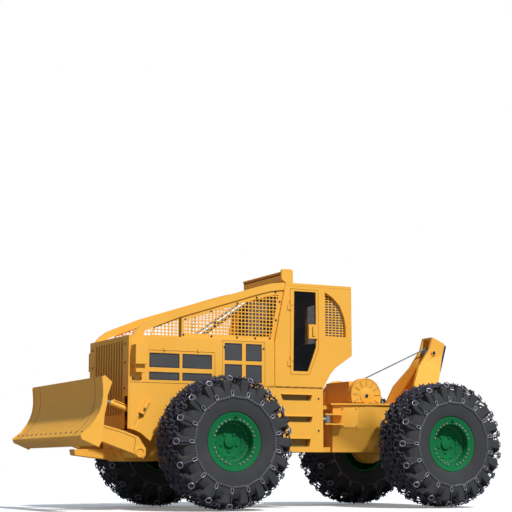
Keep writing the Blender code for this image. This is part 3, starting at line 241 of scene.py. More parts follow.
def finish(name, light, dark, rough, grain, metal=0.0, dust=None, dust_share=0.5, worn=None,
           sheen=0.22):
    """A material whose colour, gloss and grain all vary over the surface."""
    mat, tree, shader = new_material(name, light)
    colour = mixed(tree, ramp(tree, noise(tree, 1.7, 5), 0.3, 0.7), light, dark)
    if worn:
        chips = ramp(tree, noise(tree, 38, 4, 0.7), worn[1], worn[1] + 0.03)
        patches = ramp(tree, noise(tree, 2.3, 2), 0.5, 0.62)
        colour = mixed(tree, product(tree, chips, patches), colour, worn[0])
    if dust:
        cover = ramp(tree, noise(tree, 4.5, 6, 0.62), dust_share, dust_share + 0.25)
        colour = mixed(tree, product(tree, cover, 0.35), colour, dust)
    tree.links.new(colour, shader.inputs["Base Color"])
    tree.links.new(ramp(tree, noise(tree, 9, 4), 0.3, 0.7, *rough), shader.inputs["Roughness"])
    roughen(tree, shader, noise(tree, grain[0], 3), grain[1], grain[2])
    dial(shader, {"Metallic": metal, "Specular IOR Level": sheen})
    return mat

# %% The finishes of this machine
PAINT_GRAIN, STEEL_GRAIN, LINK_GRAIN = (160, 0.0008, 0.22), (200, 0.0005, 0.3), (120, 0.001, 0.4)
TRIM_GRAIN, KNOB_GRAIN = (120, 0.0008, 0.4), (200, 0.0004, 0.2)
YELLOW = finish("yellow_paint", (0.905, 0.452, 0.060), (0.86, 0.418, 0.052), (0.46, 0.62),
                PAINT_GRAIN, dust=(0.80, 0.50, 0.16), dust_share=0.58,
                worn=((0.55, 0.26, 0.05), 0.72))
GREEN = finish("green_paint", (0.008, 0.158, 0.050), (0.006, 0.128, 0.040), (0.6, 0.75),
               PAINT_GRAIN, dust=(0.03, 0.15, 0.06), dust_share=0.66, sheen=0.08)
RUBBER = finish("tyre_rubber", (0.052, 0.052, 0.054), (0.038, 0.038, 0.040), (0.78, 0.92),
                (90, 0.002, 0.35), dust=(0.075, 0.070, 0.064), dust_share=0.55)
CHAIN = finish("chain_steel", (0.40, 0.39, 0.43), (0.20, 0.19, 0.22), (0.35, 0.55),
               LINK_GRAIN, metal=0.45, dust=(0.20, 0.15, 0.12), dust_share=0.56)
# A darker copy of the chain's steel for the net and the links on edge: painted shade.
CHAIN_IN_SHADE = finish("chain_steel_painted_shade", (0.115, 0.115, 0.150), (0.055, 0.055, 0.080), (0.35, 0.6),
             LINK_GRAIN, metal=0.4, dust=(0.10, 0.075, 0.06), dust_share=0.56)
STEEL = finish("bare_steel", (0.36, 0.38, 0.40), (0.25, 0.27, 0.29), (0.30, 0.5),
               STEEL_GRAIN, metal=0.6)
ROPE = finish("rope_steel", (0.21, 0.23, 0.24), (0.13, 0.15, 0.16), (0.5, 0.7),
              (300, 0.0006, 0.5), metal=0.4)
IRON = finish("engine_iron", (0.075, 0.078, 0.085), (0.045, 0.047, 0.05), (0.5, 0.75),
              (70, 0.002, 0.5), metal=0.3)
BOLT_BLUE = finish("blued_bolt", (0.035, 0.060, 0.150), (0.022, 0.036, 0.090), (0.35, 0.5),
                   STEEL_GRAIN, metal=0.4)
BOLT_RED = finish("wheel_bolt", (0.50, 0.36, 0.34), (0.34, 0.22, 0.21), (0.35, 0.55),
                  STEEL_GRAIN, metal=0.4)
DARK = finish("dark_trim", (0.030, 0.030, 0.034), (0.018, 0.018, 0.021), (0.45, 0.7), TRIM_GRAIN)
# The yellow paint darkened to how it looks in shade. It draws the dark gaps of joints and seams,
# and where it stands on yellow parts in recesses or under lips it is painted shade.
SHADE = finish("joint_and_shade_paint", (0.16, 0.088, 0.022), (0.11, 0.06, 0.016), (0.5, 0.7),
               TRIM_GRAIN, dust=(0.20, 0.13, 0.06), dust_share=0.6)
# Inside the step pockets: a darker brown that is partly wear from boots and partly painted shade of
# the pocket.
WORN_AND_SHADED = finish("worn_and_shaded_paint", (0.40, 0.285, 0.080), (0.32, 0.225, 0.062), (0.5, 0.7),
                TRIM_GRAIN, dust=(0.28, 0.20, 0.10), dust_share=0.5)
NAVY = finish("navy_seal", (0.020, 0.030, 0.075), (0.012, 0.018, 0.045), (0.5, 0.7),
              (140, 0.0006, 0.3))
KNOB_RED = finish("red_knob", (0.42, 0.02, 0.02), (0.30, 0.012, 0.012), (0.25, 0.4), KNOB_GRAIN)
KNOB_BLUE = finish("blue_knob", (0.02, 0.05, 0.36), (0.012, 0.03, 0.24), (0.25, 0.4), KNOB_GRAIN)
LENS = finish("lamp_lens", (0.62, 0.63, 0.62), (0.48, 0.49, 0.48), (0.10, 0.2), (60, 0.001, 0.3))
print("finishes:", len(bpy.data.materials))

# %% [markdown]
# ## Shaping helpers
# Blender's operators act on whatever is selected, and the frame's solids arrive selected. So every
# step starts by letting go of everything. A finished piece has its place in its mesh, its faces
# smooth up to a chosen angle, a finish, and the moving part that it rides on.


# %% Start and finish a piece
def let_go():
    """Leaves edit mode and deselects everything."""
    if bpy.context.object and bpy.context.object.mode != "OBJECT":
        bpy.ops.object.mode_set(mode="OBJECT")
    bpy.ops.object.select_all(action="DESELECT")


def hold(piece):
    """Makes this the one selected object."""
    let_go()
    bpy.context.view_layer.objects.active = piece
    piece.select_set(True)
    return piece


def from_mesh(name, mesh):
    """A new selected object that shows this mesh."""
    piece = bpy.data.objects.new(name, mesh)
    bpy.context.scene.collection.objects.link(piece)
    return hold(piece)


def drawn(name, points, edges=(), faces=()):
    """A new selected object from its points and the edges or faces between them."""
    mesh = bpy.data.meshes.new(name)
    mesh.from_pydata([tuple(point) for point in points], edges, faces)
    return from_mesh(name, mesh)


def built(name, shape):
    """A new selected object from a finished bmesh, with its faces turned outwards."""
    bmesh.ops.recalc_face_normals(shape, faces=shape.faces)
    mesh = bpy.data.meshes.new(name)
    shape.to_mesh(mesh)
    shape.free()
    return from_mesh(name, mesh)


def added(name, scale=None):
    """The primitive that was just added, with its name, and its place put into its mesh."""
    piece = bpy.context.object
    piece.name = name
    if scale:
        piece.scale = scale
    bpy.ops.object.transform_apply(location=True, rotation=True, scale=True)
    return piece


def edit_all():
    """Opens edit mode with everything selected."""
    bpy.ops.object.mode_set(mode="EDIT")
    bpy.ops.mesh.select_all(action="SELECT")


def leave_edit():
    """Goes back to object mode, which writes the edits into the mesh."""
    bpy.ops.object.mode_set(mode="OBJECT")


def turn_outwards():
    """In edit mode: turns the selected faces outwards, and leaves edit mode."""
    bpy.ops.mesh.normals_make_consistent(inside=False)
    leave_edit()


def move_to(piece, place):
    """Moves a model from the origin to its place, in its mesh."""
    piece.data.transform(Matrix.Translation(place))


def add_modifier(piece, kind, **settings):
    """Adds a modifier with these settings and applies it at once."""
    hold(piece)
    step = piece.modifiers.new(kind.lower(), kind)
    for key, value in settings.items():
        setattr(step, key, value)
    bpy.ops.object.modifier_apply(modifier=step.name)


def chamfer(piece, width, segments=1, angle=30):
    """Bevels the edges that bend by more than the angle."""
    add_modifier(piece, "BEVEL", width=width, segments=segments, limit_method="ANGLE",
                 angle_limit=math.radians(angle))


def pick(test):
    """In edit mode: selects the faces that pass the test on centre and normal."""
    bpy.ops.mesh.select_mode(type="FACE")
    mesh = bmesh.from_edit_mesh(bpy.context.object.data)
    count = 0
    for face in mesh.faces:
        chosen = bool(test(face.calc_center_median(), face.normal))
        face.select_set(chosen)
        count += chosen
    mesh.select_flush_mode()
    bmesh.update_edit_mesh(bpy.context.object.data)
    return count


def done(piece, finish_mat, body=None, smooth=35):
    """Bakes the place into the mesh, paints the piece and lets it ride on a moving part."""
    hold(piece)
    bpy.ops.object.transform_apply(location=True, rotation=True, scale=True)
    bpy.ops.object.shade_smooth_by_angle(angle=math.radians(smooth))
    piece.data.name = piece.name
    piece.data.materials.clear()
    piece.data.materials.append(finish_mat)
    if body:
        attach(piece, body)
    return piece


def turned(name, profile, steps):
    """A line of (radius, y) points spun round the y axis, with its doubles merged."""
    piece = drawn(name, [(r, y, 0) for r, y in profile],
                  edges=[(i, i + 1) for i in range(len(profile) - 1)])
    edit_all()
    bpy.ops.mesh.spin(steps=steps, angle=2 * math.pi, center=(0, 0, 0), axis=(0, 1, 0))
    bpy.ops.mesh.select_all(action="SELECT")
    bpy.ops.mesh.remove_doubles(threshold=0.0002)
    turn_outwards()
    return piece


def repeated(name, model, places):
    """One mesh that holds a copy of the model at each place, and the model is deleted."""
    source = model.data
    joined = bmesh.new()
    for place in places:
        one = source.copy()
        one.transform(place)
        if place.determinant() < 0:
            one.flip_normals()
        joined.from_mesh(one)
        bpy.data.meshes.remove(one)
    mesh = bpy.data.meshes.new(name)
    joined.to_mesh(mesh)
    joined.free()
    bpy.data.objects.remove(model)
    bpy.data.meshes.remove(source)
    return from_mesh(name, mesh)


def joined_with(piece, *others):
    """Joins the others into the piece, as Ctrl J does."""
    let_go()
    for other in (*others, piece):
        other.select_set(True)
    bpy.context.view_layer.objects.active = piece
    bpy.ops.object.join()
    return piece


# %% [markdown]
# ## Painted steel with rolled edges
# No edge of a real plate is perfectly sharp: it catches a thin line of light. The painted solids
# are right in shape, so a copy of each gets its loose triangles merged, its flat faces made whole
# and a small bevel on its hard edges, and then stands for the solid. The bevels would tilt the
# shading of the big faces next to them, so the normals are weighted by the faces' area.


# %% Soften the plain solids
SHARP = math.radians(32)


def softened(node, finish_mat, width=0.005, smooth=35, segments=2, outward=False):
    """A bevelled copy of the solid; outward leaves a pin's root sharp, clear of its bore."""
    piece = from_mesh(node + "_skin", NODES[node].data.copy())
    edit_all()
    bpy.ops.mesh.remove_doubles(threshold=0.00005)
    bpy.ops.mesh.dissolve_limited(angle_limit=math.radians(0.6))
    if outward:
        shape = bmesh.from_edit_mesh(piece.data)
        weight = shape.edges.layers.float.new("bevel_weight_edge")
        for edge in shape.edges:
            edge[weight] = float(edge.calc_face_angle_signed(0.0) > SHARP)
        bmesh.update_edit_mesh(piece.data)
    leave_edit()
    add_modifier(piece, "BEVEL", width=width, segments=segments, angle_limit=SHARP,
                 limit_method="WEIGHT" if outward else "ANGLE", harden_normals=False)
    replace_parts(piece, node)
    done(piece, finish_mat, BODY[node], smooth=smooth)
    add_modifier(piece, "WEIGHTED_NORMAL", keep_sharp=True, weight=100)
    return piece


PAINTED = ("hood", "left_side", "right_side", "grille_frame", "blade", "cab_shell", "cab_roof",
           "roof_box", "left_door", "right_door", "canopy_guard", "winch_case", "arch",
           "rear_frame", "front_frame", "deck", "left_headlight", "right_headlight")
skins = {node: softened(node, YELLOW, outward=node == "front_frame") for node in PAINTED}
print("bevelled plates:", sum(len(skin.data.polygons) for skin in skins.values()), "faces")

# %% Paint the solids that stay
STAY = {"front_axle": YELLOW, "rear_axle": YELLOW, "engine_block": IRON, "winch_drum": STEEL,
        "winch_line": ROPE, "left_steer_barrel": YELLOW, "right_steer_barrel": YELLOW}
STAY.update({node: STEEL for node in NODES if node.endswith("_rod")})
for node, finish_mat in STAY.items():
    for place in NODES[node].material_slots:
        place.material = finish_mat
print("solids that stay:", len(STAY))

# %% [markdown]
# ## Tyres
# A forestry tyre has a smooth, slightly conical side wall, and heavy lugs that start on the
# shoulder and run at a slant to the middle of the tread. The wall is one profile spun round the
# axle. One lug is modelled from a block and copied round both shoulders.

# %% The tyre's wall
BEAD_R = 0.4372
WALL = ((BEAD_R, 0.335), (0.452, 0.352), (0.50, 0.366), (0.58, 0.380), (0.66, 0.3875),
        (0.72, 0.3872), (0.775, 0.372), (0.83, 0.338), (0.868, 0.270), (0.884, 0.14), (0.888, 0.0))
profile = [*WALL, *[(r, -y) for r, y in reversed(WALL[:-1])], (BEAD_R, -0.20), (BEAD_R, 0.20),
           WALL[0]]
tyre = turned("tyre", profile, 96)

# %% One lug
LUGS = 18
LUG_PATH = ((0.690, 0.3880, 0.040, 0.000), (0.735, 0.3884, 0.050, 0.000),
            (0.830, 0.3884, 0.057, 0.004), (0.905, 0.3840, 0.062, 0.010),
            (0.934, 0.352, 0.064, 0.024), (0.942, 0.20, 0.058, 0.095),
            (0.9448, 0.02, 0.048, 0.180))
ON_WALL = 4
FOOT = 1.42


def lug_mesh(name):
    """A bar that follows the path of (radius, y, half width, slant), sunk into the tyre."""
    shape = bmesh.new()
    rows = []
    for k, (radius, y, half, slant) in enumerate(LUG_PATH):
        if k < ON_WALL:
            low_r, low_y = radius * 0.985, y - 0.055
        else:
            low_r, low_y = radius * 0.925, y * 0.9
        foot = half * FOOT
        row = [(low_r, low_y, slant + foot), (radius, y, slant + half),
               (radius, y, slant - half), (low_r, low_y, slant - foot)]
        rows.append([shape.verts.new(corner) for corner in row])
    for a, b in zip(rows, rows[1:]):
        for i in range(4):
            j = (i + 1) % 4
            shape.faces.new((a[i], a[j], b[j], b[i]))
    shape.faces.new(rows[0])
    shape.faces.new(rows[-1])
    return built(name, shape)


lug = lug_mesh("lug")
chamfer(lug, 0.007)
print("one lug:", len(lug.data.polygons), "faces")

# %% All the lugs
OTHER_SIDE = Matrix.Scale(-1, 4, (0, 1, 0))
places = []
for k in range(LUGS):
    places.append(Matrix.Rotation(2 * math.pi * k / LUGS, 4, "Y"))
    places.append(Matrix.Rotation(2 * math.pi * (k + 0.5) / LUGS, 4, "Y") @ OTHER_SIDE)
lugs = repeated("lugs", lug, places)
joined_with(tyre, lugs)
print("tyre:", len(tyre.data.polygons), "faces")

# %% [markdown]
# ## Rims
# The rim is one pressed bowl: a flat ring for the tyre's bead, a deep dish, and in the middle the
# flat face of the hub with its planetary gears. It is spun from one profile, and the bolts are a
# small hexagon copied along two circles.

# %% The rim's bowl
RIM = ((0.0, 0.186), (0.066, 0.186), (0.080, 0.182), (0.086, 0.172), (0.087, 0.155),
       (0.098, 0.151), (0.186, 0.153), (0.194, 0.158), (0.198, 0.170), (0.204, 0.176),
       (0.258, 0.180), (0.270, 0.196), (0.300, 0.203), (0.309, 0.212), (0.313, 0.322),
       (0.318, 0.334), (0.326, 0.336), (0.395, 0.336), (0.402, 0.340), (0.418, 0.344),
       (0.4368, 0.345), (0.4368, -0.345), (0.405, -0.345), (0.405, 0.10), (0.17, 0.10),
       (0.17, -0.05), (0.0, -0.05))
rim = turned("rim", RIM, 96)
print("rim bowl:", len(rim.data.polygons), "faces")


# %% A bolt, its circles and the hub's bosses
def inset_top(thickness, depth):
    """Insets and lifts the faces that look along y, and leaves edit mode."""
    bpy.ops.object.mode_set(mode="EDIT")
    pick(lambda centre, normal: normal.y > 0.9)
    bpy.ops.mesh.inset(thickness=thickness, depth=depth)
    leave_edit()


def bolt(name, radius, height, sides=6):
    """A hexagon head whose top edge is bevelled, standing on the origin along y."""
    let_go()
    bpy.ops.mesh.primitive_cylinder_add(vertices=sides, radius=radius, depth=height,
                                        location=(0, height / 2, 0), rotation=UPRIGHT)
    piece = added(name)
    inset_top(radius * 0.22, height * 0.25)
    return piece


def on_circle(radius, y, angle):
    """A place on a circle round the axle, at this angle in degrees."""
    return Matrix.Rotation(math.radians(angle), 4, "Y") @ Matrix.Translation((radius, y, 0))


outer_angles = [90 * q + 15 + 12 * k for q in range(4) for k in range(6)]
outer_bolts = repeated("outer_bolts", bolt("bolt", 0.0140, 0.016),
                       [on_circle(0.337, 0.335, a) for a in outer_angles])
inner_bolts = repeated("inner_bolts", bolt("bolt", 0.009, 0.012),
                       [on_circle(0.291, 0.199, 360 * k / 28) for k in range(28)])
wheel_bolts = joined_with(outer_bolts, inner_bolts)

let_go()
bpy.ops.mesh.primitive_cylinder_add(vertices=20, radius=0.026, depth=0.014,
                                    location=(0, 0.156, 0), rotation=UPRIGHT)
boss = added("boss")
inset_top(0.006, 0.004)
bosses = repeated("bosses", boss, [on_circle(0.135, 0.0, 72 * k + 18) for k in range(5)])
small_bosses = repeated("small_bosses", bolt("cap", 0.014, 0.010, 10),
                        [on_circle(0.232, 0.176, 36 * k) for k in range(10)])
joined_with(rim, bosses, small_bosses)

# %% The valve
VALVE = (((0.320, 0.240, 0.0), (0.320, 0.20, 0.0), (0.320, 0.33, -0.03)),
         ((0.362, 0.350, 0.03), (0.395, 0.375, 0.01), (0.345, 0.335, 0.04)))
let_go()
bpy.ops.curve.primitive_bezier_curve_add()
curve = bpy.context.object.data
for point, (place, left, right) in zip(curve.splines[0].bezier_points, VALVE):
    point.co, point.handle_left, point.handle_right = place, left, right
curve.bevel_depth = 0.012
curve.bevel_resolution = 2
curve.resolution_u = 8
curve.use_fill_caps = True
bpy.context.object.location = (0, 0, 0)
bpy.ops.object.convert(target="MESH")
valve = bpy.context.object
valve.data.transform(Matrix.Rotation(math.radians(-90), 4, "Y"))
valve.name = "valve"

# %% [markdown]
# ## Ring chains
# Chains for rough ground: a fine chain runs round each side wall, straps of links climb over the
# shoulders, and between them a net of rings and links with studs covers the tread. Few links show
# their shape alone, so one link and one ring are modelled with few faces and copied many times.
# Every other link lies flat and the ones between stand on edge. The flat ones are joined in one
# piece, and those on edge go with the tread's net. Net and links on edge take a darker copy of the
# chain's steel, which is painted shade: the real chain is one steel.


# %% One link and one ring
def ring_model(name, radius, bar, length=0.0, around=10, sides=5):
    """A round bar bent to a ring in the xz plane, stretched to an oval link along x."""
    let_go()
    bpy.ops.mesh.primitive_torus_add(major_radius=radius, minor_radius=bar, rotation=UPRIGHT,
                                     major_segments=around, minor_segments=sides,
                                     location=(0, 0, 0))
    piece = added(name)
    for vertex in piece.data.vertices:
        if abs(vertex.co.x) > 0.0001:
            vertex.co.x += math.copysign(length / 2, vertex.co.x)
    return piece


def placed(centre, along, normal):
    """The place of a model whose x axis lies along one direction and whose y axis is the normal."""
    x = along.normalized()
    y = (normal - x * normal.dot(x)).normalized()
    z = x.cross(y)
    turn = Matrix((x, y, z)).transposed().to_4x4()
    return Matrix.Translation(centre) @ turn


# %% The net's path over the tread
STRANDS = 17
SIDE_LINKS = 12 * STRANDS
SIDE_R, SIDE_CHAIN_Y, PULL = 0.660, 0.400, 0.012
STRAP = ((0.722, 0.403, 0.0, 0), (0.797, 0.390, 0.0, 1), (0.868, 0.388, 0.1, 1))


def polar(radius, y, angle):
    """A place round the axle, at this angle in radians."""
    return Vector((radius * math.cos(angle), y, radius * math.sin(angle)))


side_links, edge_links, strap_links, edge_straps, shoulder_rings = [], [], [], [], []
for side in (LEFT, RIGHT):
    for k in range(SIDE_LINKS):
        angle = 2 * math.pi * k / SIDE_LINKS
        pull = PULL * abs(math.cos(angle * STRANDS / 2)) ** 6
        centre = polar(SIDE_R + pull, side * SIDE_CHAIN_Y, angle)
        along = polar(1, 0, angle + math.pi / 2)
        if k % 2:
            side_links.append(placed(centre, along, Vector((0, side, 0))))
        else:
            edge_links.append(placed(centre, along, polar(1, 0, angle)))
    for k in range(STRANDS):
        angle = 2 * math.pi * k / STRANDS
        sideways = polar(1, 0, angle + math.pi / 2)
        for radius, y, lean, edgewise in STRAP:
            along = polar(math.cos(lean), -side * math.sin(lean), angle)
            out = polar(math.sin(lean), side * math.cos(lean), angle)
            row = edge_straps if edgewise else strap_links
            row.append(placed(polar(radius, side * y, angle), along, sideways if edgewise else out))
        along, out = polar(0.75, -side * 0.66, angle), polar(0.66, side * 0.75, angle)
        shoulder_rings.append(placed(polar(0.948, side * 0.352, angle), along, out))
print("side links:", len(side_links), "strap links:", len(strap_links))

# %% The net itself
NET_R = 0.972
ROWS = ((0.320, 0.0), (0.215, 0.5), (0.108, 0.0), (0.0, 0.5), (-0.108, 0.0), (-0.215, 0.5),
        (-0.320, 0.0))
STUD_LEAN = 0.030
shake = random.Random(8)


def net_r(y):
    """The net's radius at this place across the tread: it drops over the shoulders."""
    return NET_R - 0.25 * max(abs(y) - 0.22, 0) ** 2 / 0.11


def net_angle(step):
    """The angle of a step round the tread: each strand has two."""
    return 2 * math.pi * step / (2 * STRANDS)


def shaken(place, turn=0.45, move=0.007):
    """The same place, turned and moved a little: a chain never lies quite even."""
    spin = Matrix.Rotation(shake.uniform(-turn, turn), 4,
                           Vector([shake.uniform(-1, 1) for k in range(3)]))
    return Matrix.Translation([shake.uniform(-move, move) for k in range(3)]) @ place @ spin


rings, studs, net_links = [], [], []
for y, shift in ROWS:
    for k in range(2 * STRANDS):
        angle = net_angle(k + shift)
        along = polar(1, 0, angle + math.pi / 2)
        ring_place = placed(polar(net_r(y), y, angle), along, polar(1, 0.25 * y, angle))
        rings.append(shaken(ring_place))
        for lean in (-STUD_LEAN, STUD_LEAN):
            stud_spot = polar(net_r(y) + 0.004, y, angle + lean)
            studs.append(shaken(placed(stud_spot, along, polar(1, 0, angle)), 0.9))
for (y0, s0), (y1, _) in zip(ROWS, ROWS[1:]):
    for k in range(2 * STRANDS):
        for way in (-0.5, 0.5):
            a0, a1 = net_angle(k + s0), net_angle(k + s0 + way)
            a, b = polar(net_r(y0), y0, a0), polar(net_r(y1), y1, a1)
            up = polar(1, 0, (a0 + a1) / 2)
            side_way = (b - a).cross(up) if way > 0 else up
            net_links.append(shaken(placed((a + b) / 2 + up * 0.003, b - a, side_way)))
print("rings:", len(rings), "net links:", len(net_links), "studs:", len(studs))

# %% Put the chain together
FLAT_LINK, EDGE_LINK = (0.0105, 0.0058, 0.0090, 8, 4), (0.0092, 0.0044, 0.0110, 8, 4)
STRAP_LINK, NET_LINK = (0.0215, 0.0078, 0.034, 10, 5), (0.0185, 0.0080, 0.050, 8, 4)
TREAD_TOP = 1.014
chain = joined_with(
    repeated("side_chain", ring_model("link", *FLAT_LINK), side_links),
    repeated("straps", ring_model("link", *STRAP_LINK), strap_links),
    repeated("shoulder_rings", ring_model("ring", 0.043, 0.0092, 0.0, 14, 5), shoulder_rings))
# The net, the links on edge and the straps on edge get the darker steel: painted shade.
net = joined_with(
    repeated("edge_links", ring_model("link", *EDGE_LINK), edge_links),
    repeated("edge_straps", ring_model("link", *STRAP_LINK), edge_straps),
    repeated("net_rings", ring_model("ring", 0.040, 0.0092, 0.0, 10, 4), rings),
    repeated("net_links", ring_model("link", *NET_LINK), net_links),
    repeated("net_studs", bolt("stud", 0.0080, 0.030, 5), studs))
for spot in net.data.vertices:
    reach = math.hypot(spot.co.x, spot.co.z)
    if reach > TREAD_TOP:
        spot.co.x, spot.co.z = spot.co.x * TREAD_TOP / reach, spot.co.z * TREAD_TOP / reach
for part in (chain, net):
    print(part.name, sum(len(face.vertices) - 2 for face in part.data.polygons), "triangles")

# %% [markdown]
# ## Four wheels
# The wheel is finished once, with its outer face to the left. The other three are copies: the right
# ones are mirrored, so their lugs slant the other way, as on the real machine.


# %% Copy the wheel
def wheel_piece(model, name, x, side, finish_mat, body, smooth=35):
    """A copy of a wheel's piece at its axle end, mirrored for the right side."""
    mesh = model.data.copy()
    place = Matrix.Translation((AXLE_X + x, side * TRACK_HALF, AXLE_Z))
    if side == RIGHT:
        place = place @ OTHER_SIDE
    mesh.transform(place)
    if side == RIGHT:
        mesh.flip_normals()
    return done(from_mesh(name, mesh), finish_mat, body, smooth)


for row, x in (("front", 0.0), ("rear", REAR_X)):
    for side in (LEFT, RIGHT):
        word = f"{row}_{side_word(side)}"
        body = word + "_wheel"
        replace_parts(wheel_piece(tyre, word + "_lugged_tyre", x, side, RUBBER, body, 18),
                    word + "_tyre")
        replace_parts(wheel_piece(rim, word + "_bolted_rim", x, side, GREEN, body),
                    word + "_rim")
        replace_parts(wheel_piece(chain, word + "_ring_chain", x, side, CHAIN, body),
                    word + "_chain")
        wheel_piece(net, word + "_tread_net", x, side, CHAIN_IN_SHADE, body)
        wheel_piece(wheel_bolts, word + "_wheel_bolts", x, side, BOLT_RED, body)
        wheel_piece(valve, word + "_valve", x, side, DARK, body)
for model in (tyre, rim, chain, net, wheel_bolts, valve):
    bpy.data.objects.remove(model)
print("wheels: 4")

# %% [markdown]
# ## Small parts in rows
# Bolts, hinge knuckles and slats repeat along the plates. Each is modelled once, standing on the
# origin, and is copied with a matrix that turns its own y axis to the way it should face. Parts on
# the left side are mirrored for the right one, each with its own mesh.


# %% Copy a model along a plate
def facing(place, direction):
    """The matrix that stands a model on this place with its y axis along the direction."""
    y = Vector(direction).normalized()
    helper = Vector((0, 0, 1)) if abs(y.z) < 0.9 else Vector((1, 0, 0))
    x = y.cross(helper).normalized()
    turn = Matrix((x, y, x.cross(y))).transposed().to_4x4()
    return Matrix.Translation(place) @ turn


def block(name, low, high, bevel=0.002):
    """A bevelled box between two corners, as the start of a plate, a slat or a strip."""
    let_go()
    low, high = Vector(low), Vector(high)
    bpy.ops.mesh.primitive_cube_add(size=1, location=(low + high) / 2)
    piece = added(name, high - low)
    add_modifier(piece, "BEVEL", width=bevel, segments=1, limit_method="NONE")
    return piece


def bar(name, start, end, radius, sides=10):
    """A round bar between two places, its ends chamfered."""
    let_go()
    start, end = Vector(start), Vector(end)
    bpy.ops.mesh.primitive_cylinder_add(vertices=sides, radius=radius, rotation=UPRIGHT,
                                        depth=(end - start).length)
    piece = added(name)
    piece.data.transform(facing((start + end) / 2, end - start))
    chamfer(piece, radius * 0.18, angle=60)
    return piece


def both_sides(piece, finish_mat, body, smooth=35, stands_for=None):
    """Finishes a left piece and its mirror image; "side" in a body's or node's name is replaced."""
    name = piece.name
    mesh = piece.data.copy()
    mesh.transform(OTHER_SIDE)
    mesh.flip_normals()
    piece.name = "left_" + name
    pair = (piece, from_mesh("right_" + name, mesh))
    for word, one in zip(("left", "right"), pair):
        if stands_for:
            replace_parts(one, stands_for.replace("side", word, 1))
        done(one, finish_mat, body.replace("side", word, 1), smooth)
    return pair


# %% Bolts on the side plates
PLATE_BOLT = (0.0150, 0.012)
EDGE_BOLTS = ((0.451, 2.541), (-0.028, 2.54), (-0.471, 2.54), (-0.794, 2.54), (-1.055, 2.55),
              (-1.163, 2.846), (-1.234, 3.147), (-1.16, 3.30), (-0.821, 3.19), (-0.479, 3.08),
              (-0.02, 2.93), (0.42, 2.78))
NOSE_BOLTS = ((1.291, 1.849), (1.156, 1.851), (-0.242, 2.378), (-0.931, 2.377), (-1.926, 1.61),
              (-1.926, 1.10))
side_spots = [facing(at(x, PLATE_Y - 0.024, z), (0, 1, 0)) for x, z in EDGE_BOLTS]
side_spots += [facing(at(x, PLATE_Y - 0.001, z), (0, 1, 0)) for x, z in NOSE_BOLTS]
side_bolts = repeated("side_bolts", bolt("bolt", *PLATE_BOLT), side_spots)
both_sides(side_bolts, BOLT_BLUE, "front")

GRILLE_BOLTS = [(side * 0.70, z) for side in (LEFT, RIGHT) for z in (2.37, 2.09, 1.70, 1.426)]
grille_bolts = repeated("grille_bolts", bolt("bolt", *PLATE_BOLT),
                        [facing(at(1.359, y, z), (1, 0, 0)) for y, z in GRILLE_BOLTS])
done(grille_bolts, BOLT_BLUE, "front")
print("plate bolts:", 2 * len(side_spots) + len(GRILLE_BOLTS))

# %% [markdown]
# ## Wire mesh
# Sticks would break the windows, so steel mesh guards them. The solid has only a few big openings,
# as many as it can bear. The real one has openings of about five centimetres: a grid is cut to the
# panel's outline, each cell is inset and its middle deleted, and the sheet gets its thickness.


# %% A sheet of mesh
def outline_of(node):
    """The corners of a flat solid's side view, as (x, z), in order round it."""
    spots = sorted({(round(v.co.x, 4), round(v.co.z, 4)) for v in NODES[node].data.vertices})

    def half(row):
        """One half of the hull: a corner that bends the wrong way is dropped."""
        hull = []
        for x, z in row:
            while len(hull) > 1:
                (x0, z0), (x1, z1) = hull[-2:]
                if (x1 - x0) * (z - z0) - (z1 - z0) * (x - x0) > 1e-7:
                    break
                hull.pop()
            hull.append((x, z))
        return hull[:-1]

    return half(spots) + half(spots[::-1])


def wire_sheet(name, outline, y, pitch, wire, thick, edge):
    """A grid of openings cut to an anticlockwise outline, with a plain rim round it."""
    low_x, high_x = min(x for x, z in outline), max(x for x, z in outline)
    low_z, high_z = min(z for x, z in outline), max(z for x, z in outline)
    columns, rows = round((high_x - low_x) / pitch[0]), round((high_z - low_z) / pitch[1])
    let_go()
    bpy.ops.mesh.primitive_grid_add(x_subdivisions=columns, y_subdivisions=rows, size=1,
                                    location=((low_x + high_x) / 2, y, (low_z + high_z) / 2),
                                    rotation=UPRIGHT)
    piece = added(name, (high_x - low_x, high_z - low_z, 1))
    bpy.ops.object.mode_set(mode="EDIT")
    for (x0, z0), (x1, z1) in zip(outline, outline[1:] + outline[:1]):
        out = Vector((z1 - z0, 0, x0 - x1)).normalized()
        bpy.ops.mesh.select_all(action="SELECT")
        bpy.ops.mesh.bisect(plane_co=Vector((x0, y, z0)) - out * (edge - 0.002), plane_no=out,
                            use_fill=False, clear_outer=True)
    bpy.ops.mesh.select_mode(type="FACE")
    cells = bmesh.from_edit_mesh(piece.data)
    for cell in cells.faces:
        cell.select_set(cell.calc_area() > 0.30 * pitch[0] * pitch[1])
    bmesh.update_edit_mesh(piece.data)
    bpy.ops.mesh.inset(thickness=wire / 2, use_individual=True, use_even_offset=True)
    bpy.ops.mesh.delete(type="FACE")
    leave_edit()
    ring = drawn(name + "_rim", [(x, y, z) for x, z in outline], faces=[range(len(outline))])
    edit_all()
    bpy.ops.mesh.inset(thickness=edge, use_even_offset=True)
    bpy.ops.mesh.delete(type="FACE")
    leave_edit()
    for sheet, depth in ((piece, thick), (ring, thick * 1.6)):
        hold(sheet)
        edit_all()
        turn_outwards()
        add_modifier(sheet, "SOLIDIFY", thickness=depth, offset=0)
    return joined_with(piece, ring)


# %% The side panels and the rear side windows
def part_of(outline, x_limit, ahead):
    """What of an outline lies ahead of this x, or behind it."""
    kept = []
    for (x0, z0), (x1, z1) in zip(outline, outline[1:] + outline[:1]):
        if (x0 >= x_limit) == ahead:
            kept.append((x0, z0))
        if (x0 >= x_limit) != (x1 >= x_limit):
            share = (x_limit - x0) / (x1 - x0)
            kept.append((x_limit, z0 + share * (z1 - z0)))
    return kept


